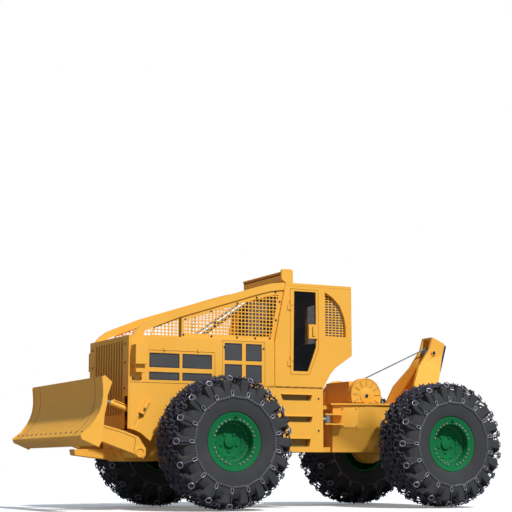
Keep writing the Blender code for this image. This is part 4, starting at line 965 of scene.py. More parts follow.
POST_X = at(0.505, 0, 0).x
whole = outline_of("left_side_mesh")
MESH_Y, MESH_PITCH, MESH_WIRE, MESH_THICK = PLATE_Y - 0.030, (0.0635, 0.0545), 0.014, 0.005
side_sheet = joined_with(*[
    wire_sheet(name, part_of(whole, POST_X, ahead), MESH_Y, MESH_PITCH, MESH_WIRE, MESH_THICK, edge)
    for name, ahead, edge in (("wire_panel", False, 0.065), ("wire_front", True, 0.014))])
both_sides(side_sheet, YELLOW, "front", stands_for="side_side_mesh")
quarter_spots = NODES["left_quarter_mesh"].data.vertices
quarter_y = sum(v.co.y for v in quarter_spots) / len(quarter_spots)
quarter = wire_sheet("wire_window", outline_of("left_quarter_mesh"), quarter_y, (0.064, 0.043),
                     0.0145, MESH_THICK, 0.02)
both_sides(quarter, YELLOW, "front", stands_for="side_quarter_mesh")
print("wire:", len(side_sheet.data.polygons), "and", len(quarter.data.polygons), "faces")

# %% The post between the two side panels
# The post is painted in the shade colour: painted shade on the sunk post.
post = block("mesh_post", at(0.487, PLATE_Y - 0.034, 2.503), at(0.523, PLATE_Y - 0.012, 2.80))
both_sides(post, SHADE, "front")

# %% [markdown]
# ## Lines of the hood
# The hood is made of panels. Their gaps show as thin dark lines, and the upper screens hang on a
# long hinge whose knuckles make a dashed line. A gap is only a few millimetres, so each is a thin
# dark strip in the plate's surface. The latches, the slot of the door's lock and the ribbed lip
# along the box on the roof are as small, and are made in the same way, of strips, bars and blocks.


# %% Strips and knuckles
def strips(name, lines, width=0.006, y=PLATE_Y, proud=0.0012, dash=0.0, gap=0.0):
    """Thin flat strips along lines of (x, z) on a side plate; dash and gap break them up."""
    shape = bmesh.new()
    for (x0, z0), (x1, z1) in lines:
        length = math.hypot(x1 - x0, z1 - z0)
        along = Vector(((x1 - x0) / length, 0, (z1 - z0) / length))
        across = Vector((-along.z, 0, along.x)) * width / 2
        step = dash + gap if dash else length
        start = 0.0
        while start < length - 0.001:
            end = min(start + (dash or length), length)
            a, b = at(x0, 0, z0) + along * start, at(x0, 0, z0) + along * end
            low, high = Vector((0, y - 0.004, 0)), Vector((0, y + proud, 0))
            corners = (a - across, b - across, b + across, a + across)
            ring = [[shape.verts.new(corner + d) for corner in corners] for d in (low, high)]
            shape.faces.new(ring[0])
            shape.faces.new(ring[1][::-1])
            for i in range(4):
                j = (i + 1) % 4
                shape.faces.new((ring[0][j], ring[0][i], ring[1][i], ring[1][j]))
            start += step
    return built(name, shape)


PANEL_LINES = (((-0.080, 1.84), (-0.080, 2.262)), ((-0.212, 1.81), (-0.212, 2.478)),
               ((-0.212, 2.478), (-0.955, 2.478)), ((-0.955, 2.478), (-0.955, 1.80)))
seam_line = strips("panel_lines", [((1.33, 1.7865), (-0.98, 1.7865))], 0.007, dash=0.16, gap=0.012)
seam_line = joined_with(seam_line, strips("lines", PANEL_LINES, 0.005))
both_sides(seam_line, SHADE, "front")
cab_line = strips("cab_seam", [((-1.0, 1.787), (-1.99, 1.787))], 0.007, CAB_Y + 0.0006,
                  dash=0.12, gap=0.03)
both_sides(cab_line, SHADE, "front")
hinge_line = strips("hinge_gap", [((1.034, 2.283), (-0.080, 2.283))], 0.006)
both_sides(hinge_line, SHADE, "front")
knuckle = bar("knuckle", (0, 0, -0.022), (0, 0, 0.022), 0.0055, 8)
LENGTHWISE = Matrix.Rotation(math.pi / 2, 4, "Y")
knuckles = repeated("hinge_knuckles", knuckle,
                    [Matrix.Translation(at(1.0 - 0.066 * k, PLATE_Y + 0.003, 2.289)) @ LENGTHWISE
                     for k in range(17)])
both_sides(knuckles, YELLOW, "front")

# %% Two small latches above the screens
latch_parts = []
for x in (0.789, 0.220):
    for name, high, low in (("latches", (x, 0.004, 2.318), (x, 0.004, 2.282)),
                            ("hook", (x, 0.006, 2.286), (x - 0.017, 0.009, 2.262))):
        ends = [at(along, PLATE_Y + proud, z) for along, proud, z in (high, low)]
        latch_parts.append(bar(name, *ends, 0.004, 8))
both_sides(joined_with(*latch_parts), SHADE, "front")

# %% The slot of the door's lock
LOCK_LINES = (((-1.800, 2.765), (-1.800, 2.600)), ((-1.800, 2.606), (-1.840, 2.606)))
both_sides(strips("lock_slots", LOCK_LINES, 0.016, CAB_Y + 0.030), SHADE, "side_door")

# %% The ribbed lip of the box on the roof
lip = block("roof_box_lip", at(-1.298, -0.595, 3.622), at(-1.276, 0.806, 3.641))
ribs = repeated("lip_ribs", block("rib", (-0.004, -0.007, -0.013), (0.008, 0.007, 0.004)),
                [Matrix.Translation(at(-1.284, -0.57 + 0.043 * k, 3.616)) for k in range(32)])
done(joined_with(lip, ribs), YELLOW, "front")
done(block("roof_box_shade", at(-1.298, -0.595, 3.585), at(-1.2925, 0.806, 3.606)), SHADE, "front")

# %% [markdown]
# ## Sunk screens
# Air leaves the engine through eight screens on each side. A screen is a fine woven wire cloth in a
# dark rubber seal. The weave is far too fine for geometry, so its wires are two crossed waves in
# the material, on Object coordinates, that set the colour and the bump.


# %% Wire cloth
def wire_cloth(name, light, dark, scale):
    """Two crossed waves that look like a fine weave, in colour and in bump."""
    mat, tree, shader = new_material(name, light)
    place = tree.nodes.new("ShaderNodeTexCoord")
    waves = []
    for turn in (37, -41):
        mapping = tree.nodes.new("ShaderNodeMapping")
        dial(mapping, {"Rotation": (0, math.radians(turn), 0)})
        wave = tree.nodes.new("ShaderNodeTexWave")
        wave.bands_direction = "X"
        dial(wave, {"Scale": scale, "Distortion": 0.4})
        tree.links.new(place.outputs["Object"], mapping.inputs["Vector"])
        tree.links.new(mapping.outputs["Vector"], wave.inputs["Vector"])
        waves.append(wave.outputs["Fac"])
    weave = product(tree, *waves, kind="MAXIMUM")
    soil = ramp(tree, noise(tree, 3.1, 4), 0.35, 0.7)
    soiled = mixed(tree, soil, light, tuple(0.72 * c for c in light))
    tree.links.new(mixed(tree, weave, dark, soiled), shader.inputs["Base Color"])
    tree.links.new(ramp(tree, noise(tree, 12, 3), -0.9, 1.1), shader.inputs["Roughness"])
    roughen(tree, shader, weave, 0.002, 0.5)
    return mat


CLOTH = wire_cloth("wire_cloth", (0.066, 0.068, 0.068), (0.034, 0.036, 0.038), 9)

# %% The screens and their seals
SCREENS = ((0.52, 1.02, 2.02, 2.24), (-0.03, 0.47, 2.02, 2.24), (0.52, 1.02, 1.83, 1.95),
           (-0.03, 0.47, 1.83, 1.95), (-0.55, -0.25, 2.17, 2.44), (-0.90, -0.62, 2.17, 2.44),
           (-0.55, -0.25, 1.83, 2.11), (-0.90, -0.62, 1.83, 2.11))
SUNK_Y = PLATE_Y - 0.0115
SEAL = 0.013
panes, seals = [], []
for x0, x1, z0, z1 in SCREENS:
    panes.append(block("screen_cloth", at(x0 + 0.004, SUNK_Y - 0.002, z0 + 0.004),
                       at(x1 - 0.004, SUNK_Y + 0.003, z1 - 0.004)))
    for a, b in (((x0, z0), (x1, z0 + SEAL)), ((x0, z1 - SEAL), (x1, z1)),
                 ((x0, z0), (x0 + SEAL, z1)), ((x1 - SEAL, z0), (x1, z1))):
        seals.append(block("screen_seals", at(a[0] + 0.001, SUNK_Y - 0.002, a[1] + 0.001),
                           at(b[0] - 0.001, SUNK_Y + 0.0065, b[1] - 0.001), 0.001))
both_sides(joined_with(*panes), CLOTH, "front")
both_sides(joined_with(*seals), NAVY, "front")
print("screens:", 2 * len(SCREENS))

# %% [markdown]
# ## Grille
# The radiator sits behind a plate with columns of punched slots. The plate is a grid whose chosen
# cells are deleted: pairs of slots side by side, one half a step higher, so each column looks like
# a plait from afar.

# %% The punched plate
COLUMNS, GRID_ROWS = 34, 148
PLATE_WIDE, PLATE_HIGH, PLATE_MIDDLE = 1.236, 1.186, 1.865
WIDE, HIGH = PLATE_WIDE / COLUMNS, PLATE_HIGH / GRID_ROWS
FOOT_Z = at(0, 0, PLATE_MIDDLE).z - PLATE_HIGH / 2
let_go()
bpy.ops.mesh.primitive_grid_add(x_subdivisions=COLUMNS, y_subdivisions=GRID_ROWS, size=1,
                                location=at(1.349, 0, PLATE_MIDDLE),
                                rotation=(math.pi / 2, 0, math.pi / 2))
punched = added("punched_plate", (PLATE_WIDE, PLATE_HIGH, 1))


def is_slot(centre, normal):
    """Two columns of slots in three, the second half a slot higher, with solid plate round them."""
    column, row = int((centre.y + PLATE_WIDE / 2) / WIDE), int((centre.z - FOOT_Z) / HIGH)
    inside = 3 < row < 144 and 0 < column < 33
    return inside and ((column % 3 == 1 and row % 4) or (column % 3 == 2 and (row + 2) % 4)) > 0


bpy.ops.object.mode_set(mode="EDIT")
slots = pick(is_slot)
bpy.ops.mesh.delete(type="FACE")
bpy.ops.mesh.select_all(action="SELECT")
turn_outwards()
add_modifier(punched, "SOLIDIFY", thickness=0.012, offset=0)
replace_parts(punched, "grille_core")
done(punched, YELLOW, "front")
print("punched slots:", slots)

# %% The radiator behind it
radiator = block("radiator", at(1.285, -0.60, 1.28), at(1.315, 0.60, 2.44), 0.004)
fins = repeated("fins", block("fin", (-0.004, -0.60, -0.004), (0.004, 0.60, 0.004), 0.001),
                [Matrix.Translation(at(1.320, 0, 1.31 + 0.045 * k)) for k in range(25)])
done(joined_with(radiator, fins), DARK, "front")

# %% [markdown]
# ## Headlights
# Each lamp sits deep in a box, behind upright slats that keep branches off the glass.

# %% Slats and lens
LAMP_Y = (0.862, 0.992)
LENS_PROFILE = ((0.0, 0.026), (0.022, 0.023), (0.042, 0.014), (0.050, 0.004), (0.054, 0.006),
                (0.058, 0.0), (0.058, -0.012), (0.0, -0.012))
slats = repeated("lamp_slats", block("slat", (-0.006, -0.007, -0.128), (0.006, 0.007, 0.128)),
                 [Matrix.Translation(at(1.309, LAMP_Y[0] + 0.026 * k, 2.20)) for k in range(6)])
both_sides(slats, YELLOW, "front")
lens = turned("lamp_lens", LENS_PROFILE, 28)
lens.data.transform(facing(at(1.276, sum(LAMP_Y) / 2, 2.20), (1, 0, 0)))
both_sides(lens, LENS, "front")

# %% [markdown]
# ## Windows
# The panes are tinted glass, thin and slightly rough, so the cab's inside shows dimly. Each is the
# outline of its window made one face, given a thickness and bevelled.


# %% Tinted glass
def tinted(name, colour, alpha):
    """Dark glass with a faint smear in its colour and its gloss."""
    mat, tree, shader = new_material(name, colour)
    smear = ramp(tree, noise(tree, 6, 5, 0.6), 0.35, 0.75)
    smeared = mixed(tree, smear, colour, tuple(1.5 * c for c in colour))
    tree.links.new(smeared, shader.inputs["Base Color"])
    tree.links.new(ramp(tree, noise(tree, 14, 4), -0.35, 3.2), shader.inputs["Roughness"])
    dial(shader, {"Alpha": alpha, "Specular IOR Level": 0.3})
    roughen(tree, shader, noise(tree, 5, 2), 0.001, 0.05)
    return mat


GLASS = tinted("tinted_glass", (0.004, 0.005, 0.007), 0.47)


def pane(name, corners, thick=0.006):
    """A flat pane from its corners, with its edges chamfered."""
    piece = drawn(name, corners, faces=[range(len(corners))])
    add_modifier(piece, "SOLIDIFY", thickness=thick, offset=0)
    edit_all()
    turn_outwards()
    chamfer(piece, 0.0015)
    return piece


DOOR_GLASS = ((-1.452, 2.032), (-1.472, 3.338), (-1.888, 3.338), (-1.888, 2.438), (-1.734, 2.032))
QUARTER_GLASS = ((-2.04, 2.61), (-2.04, 3.36), (-2.21, 3.29), (-2.35, 3.14), (-2.43, 2.96),
                 (-2.455, 2.80), (-2.455, 2.61))
FRONT_GLASS = ((-0.71, 2.61), (0.71, 2.61), (0.71, 3.29), (-0.71, 3.29))
REAR_GLASS = ((-0.63, 2.61), (0.63, 2.61), (0.63, 3.29), (-0.63, 3.29))
door_glass = pane("door_glass", [at(x, CAB_Y - 0.025, z) for x, z in DOOR_GLASS])
both_sides(door_glass, GLASS, "side_door")
quarter_glass = pane("quarter_glass", [at(x, quarter_y - 0.012, z) for x, z in QUARTER_GLASS])
both_sides(quarter_glass, GLASS, "front")
front_glass = pane("front_glass", [at(-1.165 - 0.211 * (z - 2.51), y, z) for y, z in FRONT_GLASS])
done(front_glass, GLASS, "front")
rear_glass = pane("rear_glass", [at(-2.525, y, z) for y, z in REAR_GLASS])
done(rear_glass, GLASS, "front")
print("panes: 6")

# %% [markdown]
# ## Inside the cab
# Through the glass a driver's place shows: the lining, two side consoles with red and blue knobs, a
# wheel on a column, gauges and a seat. The lining is painted in the yellow's shade colour, as
# painted shade inside the cab. Little of it is seen, so blocks with well rounded edges and a few
# spun profiles are enough.

# %% Lining and consoles
LINING = (((-1.98, -0.795, 1.852), (-1.20, 0.795, 1.866)),
          ((-1.195, -0.70, 1.87), (-1.182, 0.70, 2.50)),
          ((-2.40, -0.78, 2.36), (-2.05, 0.78, 2.375)),
          ((-2.498, -0.78, 2.42), (-2.488, 0.78, 2.61)),
          ((-2.46, -0.78, 3.385), (-1.36, 0.78, 3.398)))
lining = [block("cab_lining", at(*low), at(*high)) for low, high in LINING]
# The lining takes the shade colour: painted shade on the cab's yellow inside.
done(joined_with(*lining), SHADE, "front")
CONSOLES = (((-1.42, -0.42, 2.34), (-1.20, 0.42, 2.60), 0.02),
            ((-1.40, -0.28, 2.60), (-1.24, 0.28, 2.70), 0.02),
            ((-1.98, 0.30, 1.866), (-1.52, 0.50, 2.30), 0.025),
            ((-1.98, -0.50, 1.866), (-1.52, -0.30, 2.30), 0.025))
BELLOWS = ((0.0, 0.0), (0.21, 0.0), (0.21, 0.02), (0.13, 0.05), (0.12, 0.08), (0.135, 0.10),
           (0.12, 0.12), (0.135, 0.14), (0.12, 0.16), (0.135, 0.18), (0.16, 0.20), (0.19, 0.235),
           (0.0, 0.235))
boxes = [block("dash", at(*low), at(*high), bevel) for low, high, bevel in CONSOLES]
pedestal = turned("pedestal", BELLOWS, 28)
pedestal.data.transform(facing(at(-1.66, 0, 1.868), (0, 0, 1)))
done(joined_with(*boxes, pedestal), DARK, "front")

# %% Wheel, gauges and levers
WHEEL_R = 0.19
let_go()
bpy.ops.mesh.primitive_torus_add(major_radius=WHEEL_R, minor_radius=0.014, major_segments=36,
                                 minor_segments=8, rotation=UPRIGHT)
steering = added("steering_wheel")
spokes = [bar("spoke", (0, 0, 0), (WHEEL_R * math.cos(a), 0, WHEEL_R * math.sin(a)), 0.009, 8)
          for a in (math.radians(d) for d in (90, 210, 330))]
hub = turned("hub", ((0, 0.018), (0.03, 0.016), (0.042, 0.004), (0.042, -0.02), (0, -0.02)), 20)
steering = joined_with(steering, *spokes, hub)
steering.data.transform(facing(at(-1.50, 0, 2.80), (-0.62, 0, 0.78)))
column = bar("column", at(-1.49, 0, 2.79), at(-1.36, 0, 2.62), 0.022, 12)
done(joined_with(steering, column), DARK, "front")
GAUGE = ((0, 0.010), (0.030, 0.010), (0.034, 0.018), (0.040, 0.018), (0.042, 0.0), (0, 0.0))
gauges = [turned("gauges", GAUGE, 22) for k in range(3)]
for k, gauge in enumerate(gauges):
    gauge.data.transform(facing(at(-1.40, -0.16 + 0.16 * k, 2.645), (-1, 0, 0.2)))
done(joined_with(*gauges), LENS, "front")
KNOB = ((0, -0.018), (0.010, -0.018), (0.018, -0.006), (0.021, 0.006), (0.017, 0.018), (0, 0.024))
KNOBS = (("red_knobs", KNOB_RED, ((-1.79, 0.40, 2.46), (-1.62, -0.36, 2.44))),
         ("blue_knobs", KNOB_BLUE, ((-1.80, 0.44, 2.395), (-1.74, -0.42, 2.42))))
levers = []
for name, finish_mat, spots in KNOBS:
    knobs = repeated(name, turned("knob", KNOB, 16),
                     [facing(at(*spot), (0.15, 0, 1)) for spot in spots])
    done(knobs, finish_mat, "front")
    for x, y, z in spots:
        levers.append(bar("levers", at(x - 0.02, y, 2.29), at(x, y, z - 0.012), 0.006, 8))
done(joined_with(*levers), STEEL, "front")

# %% [markdown]
# ## The seat
# A driver's seat is foam under tight vinyl, so its faces bulge between the seams. Two plain pads
# are remeshed and blown up by a cloth simulation with pressure and no gravity; a point may move
# only 14 mm. The sewn channels are pressed in afterwards, since a remesh would lose them.


# %% Two pads
def pad(name, corners, low, high):
    """A closed prism from a side view, with well rounded edges."""
    piece = drawn(name, [at(x, low, z) for x, z in corners], faces=[range(len(corners))])
    edit_all()
    bpy.ops.mesh.extrude_region_move(TRANSFORM_OT_translate={"value": (0, high - low, 0)})
    bpy.ops.mesh.select_all(action="SELECT")
    turn_outwards()
    chamfer(piece, 0.03, segments=3)
    return piece


CUSHION = ((-1.405, 2.185), (-1.405, 2.262), (-1.80, 2.235), (-1.83, 2.125))
BACK = ((-1.872, 2.15), (-1.865, 2.25), (-1.99, 2.84), (-2.062, 2.825), (-1.965, 2.15))
SWELL = 0.014
seat_low = pad("seat_pads", CUSHION, -0.235, 0.235)
seat_back = pad("seat_back", BACK, -0.225, 0.225)
seat_pads = joined_with(seat_low, seat_back)
seat_pads.data.remesh_voxel_size = 0.018
bpy.ops.object.voxel_remesh()
rest = [v.co.copy() for v in seat_pads.data.vertices]
cloth = seat_pads.modifiers.new("air", "CLOTH")
cloth.settings.use_pressure = True
cloth.settings.uniform_pressure_force = 4
cloth.settings.effector_weights.gravity = 0
for frame_number in range(1, 15):
    bpy.context.scene.frame_set(frame_number)
hold(seat_pads)
bpy.ops.object.modifier_apply(modifier=cloth.name)
bpy.context.scene.frame_set(1)
for vertex, start in zip(seat_pads.data.vertices, rest):
    move = vertex.co - start
    if move.length > SWELL:
        vertex.co = start + move * (SWELL / move.length)
add_modifier(seat_pads, "SUBSURF", levels=1, render_levels=1)
print("seat:", len(seat_pads.data.polygons), "faces")

# %% Sewn channels
BACK_SEAMS = [at(0, 0, z).z for z in (2.36, 2.50, 2.64, 2.77)]
CUSHION_SEAMS = [at(x, 0, 0).x for x in (-1.52, -1.66)]
SEAM_HALF, SEAM_DEEP = 0.010, 0.008
for vertex in seat_pads.data.vertices:
    place = vertex.co
    if place.z > at(0, 0, 2.30).z:
        gaps = [place.z - z for z in BACK_SEAMS]
    else:
        gaps = [place.x - x for x in CUSHION_SEAMS]
    pressed = max(math.exp(-(gap / SEAM_HALF) ** 2) for gap in gaps)
    if abs(place.y) < 0.215:
        vertex.co = place - vertex.normal * SEAM_DEEP * pressed
SEAT_COVER = finish("seat_vinyl", (0.035, 0.036, 0.040), (0.024, 0.025, 0.028), (0.35, 0.55),
                    (240, 0.0012, 0.6), dust=(0.06, 0.055, 0.05), dust_share=0.6)
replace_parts(seat_pads, "seat")
done(seat_pads, SEAT_COVER, "front", smooth=60)

# %% [markdown]
# ## Cylinders of the blade
# A cylinder on a machine like this is a steel tube with welded eyes, and a thin pipe along it
# brings oil to its far end. The tube is one bar, and rings, pipe and clamps are joined to it.

# %% Tube, gland and pipe
LIFT_FROM, LIFT_TO, LIFT_Y = Vector((0.85, 0, 1.22)), Vector((1.88, 0, 1.57)), 0.73
way = (LIFT_TO - LIFT_FROM).normalized()
over = Vector((-way.z, 0, way.x))


def along_lift(share, lift=0.0):
    """A place at this length along the left cylinder, lifted off its middle line."""
    spot = LIFT_FROM + way * share + over * lift
    return at(spot.x, LIFT_Y, spot.z)


EYE = [at(LIFT_FROM.x, LIFT_Y + half, LIFT_FROM.z) for half in (-0.054, 0.054)]
TUBES = (("lift_tube", (0.04, 0), (0.79, 0), 0.036, 20),
         ("gland", (0.745, 0), (0.80, 0), 0.044, 20),
         ("foot_ring", (0.055, 0), (0.085, 0), 0.044, 20),
         ("pipe", (0.12, 0.056), (0.76, 0.056), 0.009, 10),
         ("union", (0.125, 0.030), (0.125, 0.068), 0.013, 8),
         ("union", (0.755, 0.030), (0.755, 0.068), 0.013, 8),
         ("clamp", (0.40, 0.030), (0.40, 0.066), 0.012, 8))
parts = [bar(name, along_lift(*start), along_lift(*end), radius, sides)
         for name, start, end, radius, sides in TUBES]
parts.append(bar("eye", *EYE, 0.055, 24))
both_sides(joined_with(*parts), YELLOW, "side_lift_barrel",
           stands_for="side_lift_barrel")

# %% [markdown]
# ## Blade
# The board is rolled and welded up from three lengths, so two faint seams run down its face. Its
# lower edge is a bolted strip of hard steel, and the bolts are flush. Each push arm has a weld that
# shows as a line along its plate, and a round boss about its pin, spun from one small profile.

# %% Seams of the board
FACE = ((2.056, 1.81), (2.040, 1.65), (2.037, 1.52), (2.052, 1.41), (2.088, 1.30), (2.145, 1.20),
        (2.236, 1.08), (2.37, 0.9685))
SEAM_Y, SEAM_WIDE = 1.25, 0.004
strip_faces = [(i, i + 1, len(FACE) + i + 1, len(FACE) + i) for i in range(len(FACE) - 1)]
seams = []
for y in (-SEAM_Y, SEAM_Y):
    corners = [at(x + 0.0022, y + offset, z + 0.0012) for offset in (-SEAM_WIDE, SEAM_WIDE)
               for x, z in FACE]
    seams.append(drawn("blade_seams", corners, faces=strip_faces))
    add_modifier(seams[-1], "SOLIDIFY", thickness=0.003, offset=-1)
done(joined_with(*seams), SHADE, "blade")

# %% The push arms' welds and pin bosses
ARM_Y, ARM_PIN = 0.88, (1.17, 0.74)
ARM_LINES = (((2.05, 1.180), (1.44, 1.022)), ((1.44, 1.022), (1.245, 0.950)),
             ((1.245, 0.950), (1.272, 0.742)))
BOSS = ((0.050, -0.004), (0.050, 0.010), (0.054, 0.014), (0.074, 0.014), (0.079, 0.008),
        (0.079, -0.004), (0.050, -0.004))
both_sides(strips("arm_lines", ARM_LINES, 0.008, ARM_Y), SHADE, "blade")
arm_boss = turned("arm_bosses", BOSS, 32)
move_to(arm_boss, at(ARM_PIN[0], ARM_Y, ARM_PIN[1]))
both_sides(arm_boss, YELLOW, "blade")

# %% Bolts of the cutting edge
edge_top, edge_low = [Vector((x, 0, z)) for x, z in FACE[-2:]]
edge_way = (edge_low - edge_top).normalized()
edge_out = Vector((-edge_way.z, 0, edge_way.x))
on_edge = edge_way * 0.10 + edge_out * 0.001
edge_spots = [at(edge_top.x, -1.48 + 0.2277 * k, edge_top.z) + on_edge for k in range(14)]
edge_bolts = repeated("edge_bolts", bolt("bolt", 0.016, 0.006, 10),
                      [facing(spot, edge_out) for spot in edge_spots])
done(edge_bolts, BOLT_BLUE, "blade")
print("edge bolts:", len(edge_spots))

# %% [markdown]
# ## Winch and its rope
# The drum's round covers have ribs that run out from the middle, and a hub disc with one bolt. The
# rope lies on the drum in turns, side by side: a profile with one small bow for each turn is spun.

# %% Covers
DRUM = Vector((-3.03, 0, 1.70))
COVER_Y = 0.50
HUB_DISC = ((0.0, 0.014), (0.118, 0.014), (0.124, 0.010), (0.126, 0.0), (0.126, -0.01),
            (0.0, -0.01))
RIM_BAND = ((0.272, 0.0), (0.276, 0.006), (0.288, 0.006), (0.292, 0.0), (0.290, -0.004),
            (0.274, -0.004), (0.272, 0.0))
ribs, rib_shadows = [], []
for k in range(9):
    angle = math.radians(-24 + 28.5 * k)
    inner, outer = [at(DRUM.x - r * math.cos(angle), COVER_Y + 0.0005, DRUM.z + r * math.sin(angle))
                    for r in (0.155, 0.262)]
    ribs.append(bar("cover_ribs", inner, outer, 0.0065, 8))
    # Beside each rib runs a thin bar in the shade colour: the rib's painted shadow.
    edge = Vector((-math.sin(angle), 0, -math.cos(angle))) * 0.009
    rib_shadows.append(bar("painted_rib_shadows", inner + edge, outer + edge, 0.0042, 6))
both_sides(joined_with(*rib_shadows), SHADE, "rear")
cover_hub, cover_rim = turned("hub_disc", HUB_DISC, 48), turned("rim_band", RIM_BAND, 64)
for piece in (cover_hub, cover_rim):
    move_to(piece, at(DRUM.x, COVER_Y, DRUM.z))
hold(cover_rim)
edit_all()
bpy.ops.mesh.bisect(plane_co=at(0, 0, 1.578), plane_no=(0, 0, -1), use_fill=True, clear_outer=True)
leave_edit()
both_sides(joined_with(cover_hub, cover_rim, *ribs), YELLOW, "rear")
hub_bolt = bolt("hub_bolt", 0.030, 0.018)
move_to(hub_bolt, at(DRUM.x, COVER_Y + 0.012, DRUM.z))
both_sides(hub_bolt, BOLT_BLUE, "rear")

# %% The rope on the drum
ROPE_R = 0.0125
WOUND_HALF, WOUND_R, CORE_R = 0.2775, 0.172, 0.150
turns = int(2 * WOUND_HALF / (2 * ROPE_R))
bow = [(CORE_R, -WOUND_HALF)]
for k in range(turns):
    middle = -WOUND_HALF + (2 * k + 1) * ROPE_R
    for angle in map(math.radians, (15, 60, 120, 165)):
        bow.append((WOUND_R + ROPE_R * math.sin(angle), middle - ROPE_R * math.cos(angle)))
bow += [(CORE_R, WOUND_HALF), (CORE_R, -WOUND_HALF)]
wound = turned("wound_rope", bow, 40)
move_to(wound, at(DRUM.x, 0, DRUM.z))
done(wound, ROPE, "winch_drum", smooth=50)
print("rope turns:", turns)

# %% [markdown]
# ## Arch
# The arch lifts the logs' ends off the ground. A steel roller between its cheeks turns the rope
# down, and two upright rollers at the back guide it. The roller's pin is held by one bolt a side.

# %% Rollers
TOP = (-4.615, 2.50)
ROLLER_END = ((0.066, 0.109), (0.076, 0.104), (0.0795, 0.094), (0.0795, 0.075), (0.076, 0.070),
              (0.0795, 0.065))
roller = turned("rope_roller", ((0.0, 0.109), *ROLLER_END, *[(r, -y) for r, y in ROLLER_END[::-1]],
                                (0.0, -0.109)), 40)
move_to(roller, at(TOP[0], 0, TOP[1]))
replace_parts(roller, "top_roller")
done(roller, ROPE, "top_roller")
GUIDE = ((-4.745, 2.17), (-4.878, 2.64))
guide_low, guide_high = [at(x, 0.137, z) for x, z in GUIDE]
guide_way = (guide_high - guide_low).normalized()
guide = joined_with(
    bar("guide_rollers", guide_low + guide_way * 0.03, guide_high - guide_way * 0.03, 0.0345, 24),
    bar("collar", guide_low + guide_way * 0.005, guide_low + guide_way * 0.024, 0.037, 24),
    bar("collar", guide_high - guide_way * 0.024, guide_high - guide_way * 0.005, 0.037, 24))
both_sides(guide, BOLT_BLUE, "rear")

# %% Pin bolts and cheek lines
CHEEK_Y, ARC_R = 0.162, 0.062
pin_bolt = bolt("pin_bolt", 0.028, 0.016)
move_to(pin_bolt, at(TOP[0], 0.1915, TOP[1]))
both_sides(pin_bolt, BOLT_BLUE, "rear")
# The arc under the pin and the short line below it are drawn in the shade colour: painted shade
# under the pin and along a fold of the cheek.
arc = [(TOP[0] + ARC_R * math.cos(angle), TOP[1] + ARC_R * math.sin(angle))
       for angle in map(math.radians, range(200, 345, 18))]
straight = ((TOP[0] + 0.02, 2.375), (TOP[0] + 0.005, 2.26))
cheek_lines = strips("cheek_lines", [*zip(arc, arc[1:]), straight], 0.012, CHEEK_Y)
both_sides(cheek_lines, SHADE, "rear")

# %% [markdown]
# ## Small things on the rear frame and the tank
# A bolted cover plate on each slanted side of the rear frame gives access to the valves. The steps
# are pockets sunk in the tank's side: each has a rounded lip, a toothed tread, a back and rounded
# lower corners. Tread, back and corners are a dark brown paint that is partly wear from boots and
# partly painted shade of the pocket. A pin sits in its holder on the nose, and a ribbed shield of
# thin sheet keeps hands off the exhaust. All are blocks, bars and turned profiles, as before.

# %% Cover plates
corner_a, corner_b = Vector((-2.60, 0.4115, 0)), Vector((-2.845, 0.5255, 0))
length, slant = (corner_b - corner_a).length, (corner_b - corner_a).normalized()
outward = Vector((slant.y, -slant.x, 0))
turn = Matrix((slant, outward, slant.cross(outward))).transposed().to_4x4()
cover_place = Matrix.Translation(at(corner_a.x, corner_a.y, 1.335)) @ turn
cover = block("cover_plates", (0, -0.002, -0.165), (length, 0.008, 0.165), 0.001)
inset_top(0.012, 0.003)
cover.data.transform(cover_place)
cover_spots = [(x, 0.010, z) for x in (0.022, length - 0.022) for z in (-0.14, 0.14)]
cover_bolts = repeated("cover_bolts", bolt("bolt", 0.010, 0.008),
                       [cover_place @ Matrix.Translation(spot) for spot in cover_spots])
both_sides(cover, YELLOW, "rear")
both_sides(cover_bolts, BOLT_BLUE, "rear")

# %% Step lips
LIP_Y = PLATE_Y + 0.002
LIPS = ((-1.25, -1.80, 1.672), (-1.27, -1.81, 1.327), (-1.32, -1.77, 0.975))
lips = joined_with(*[bar("step_lips", at(x0, LIP_Y, z), at(x1, LIP_Y, z), 0.011, 10)
                     for x0, x1, z in LIPS])
both_sides(lips, YELLOW, "front")

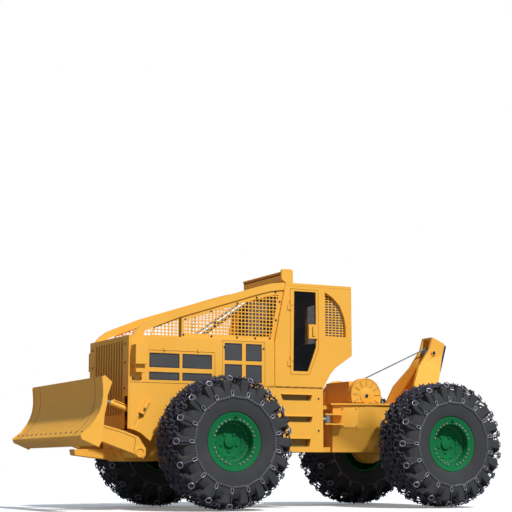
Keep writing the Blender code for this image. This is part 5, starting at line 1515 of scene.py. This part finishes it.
# %% Treads and backs of the steps
POCKETS = ((-1.275, -1.775, 1.570, 1.665), (-1.295, -1.785, 1.228, 1.322),
           (-1.345, -1.745, 0.842, 0.965))
TOOTH_PITCH, CORNER_R = 0.044, 0.050
step_parts = []
for x0, x1, z0, z1 in POCKETS:
    step_parts.append(block("step_treads", at(x1, PLATE_Y - 0.101, z0 + 0.001),
                            at(x0, PLATE_Y - 0.097, z1 - 0.001), 0.001))
    step_parts.append(block("tread", at(x1, PLATE_Y - 0.097, z0 + 0.001),
                            at(x0, PLATE_Y - 0.004, z0 + 0.005), 0.001))
    teeth = [at(x1 + 0.03 + TOOTH_PITCH * k, PLATE_Y - 0.02 - 0.030 * row, z0 + 0.005)
             for k in range(int((x0 - x1 - 0.04) / TOOTH_PITCH)) for row in range(3)]
    tooth = block("tooth", (-0.010, -0.004, 0), (0.010, 0.004, 0.005), 0.001)
    step_parts.append(repeated("teeth", tooth, [Matrix.Translation(spot) for spot in teeth]))
    low = z0 - 0.003
    for x, way in ((x0 + 0.003, 1), (x1 - 0.003, -1)):
        corner = [(x, low)]
        for angle in map(math.radians, range(0, 91, 15)):
            corner.append((x - way * (CORNER_R - CORNER_R * math.sin(angle)),
                           low + CORNER_R - CORNER_R * math.cos(angle)))
        step_parts.append(pane("corner", [at(a, PLATE_Y - 0.0035, b) for a, b in corner]))
# Tread, back, teeth and corners take the worn and shaded paint: partly wear, partly painted shade
# of the pocket.
both_sides(joined_with(*step_parts), WORN_AND_SHADED, "front")

# %% The pin in its holder
PIN = [at(1.164, PLATE_Y + 0.016, 1.274), at(1.150, PLATE_Y + 0.018, 1.300),
       at(1.098, PLATE_Y + 0.030, 1.400)]
# The pin is drawn in the shade colour: painted shade on the lower half of its holder.
holder_pin = joined_with(bar("holder_pin", PIN[1], PIN[2], 0.031, 14),
                         bar("pin_end", PIN[0], PIN[1], 0.018, 12))
both_sides(holder_pin, SHADE, "front")

# %% The exhaust's ribbed shield
SHIELD_RIBS, SHIELD_R, GROOVE_R = 22, 0.0612, 0.056
pipe_low, pipe_high = at(-0.14, 0, 2.60), at(-1.02, 0, 3.20)
pipe_length = (pipe_high - pipe_low).length
shield_profile = [(0.0, 0.0), (0.052, 0.0)]
for k in range(SHIELD_RIBS):
    y = 0.02 + k * (pipe_length - 0.04) / SHIELD_RIBS
    shield_profile += [(SHIELD_R, y), (SHIELD_R, y + 0.022), (GROOVE_R, y + 0.027),
                       (GROOVE_R, y + 0.040)]
shield_profile += [(0.050, pipe_length), (0.0, pipe_length)]
shield = turned("exhaust_shield", shield_profile, 28)
shield.data.transform(facing(pipe_low, pipe_high - pipe_low))
stub = bar("stub", at(-0.12, 0, 2.502), at(-0.12, 0, 2.64), 0.066, 24)
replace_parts(shield, "exhaust")
done(joined_with(shield, stub), STEEL, "front")
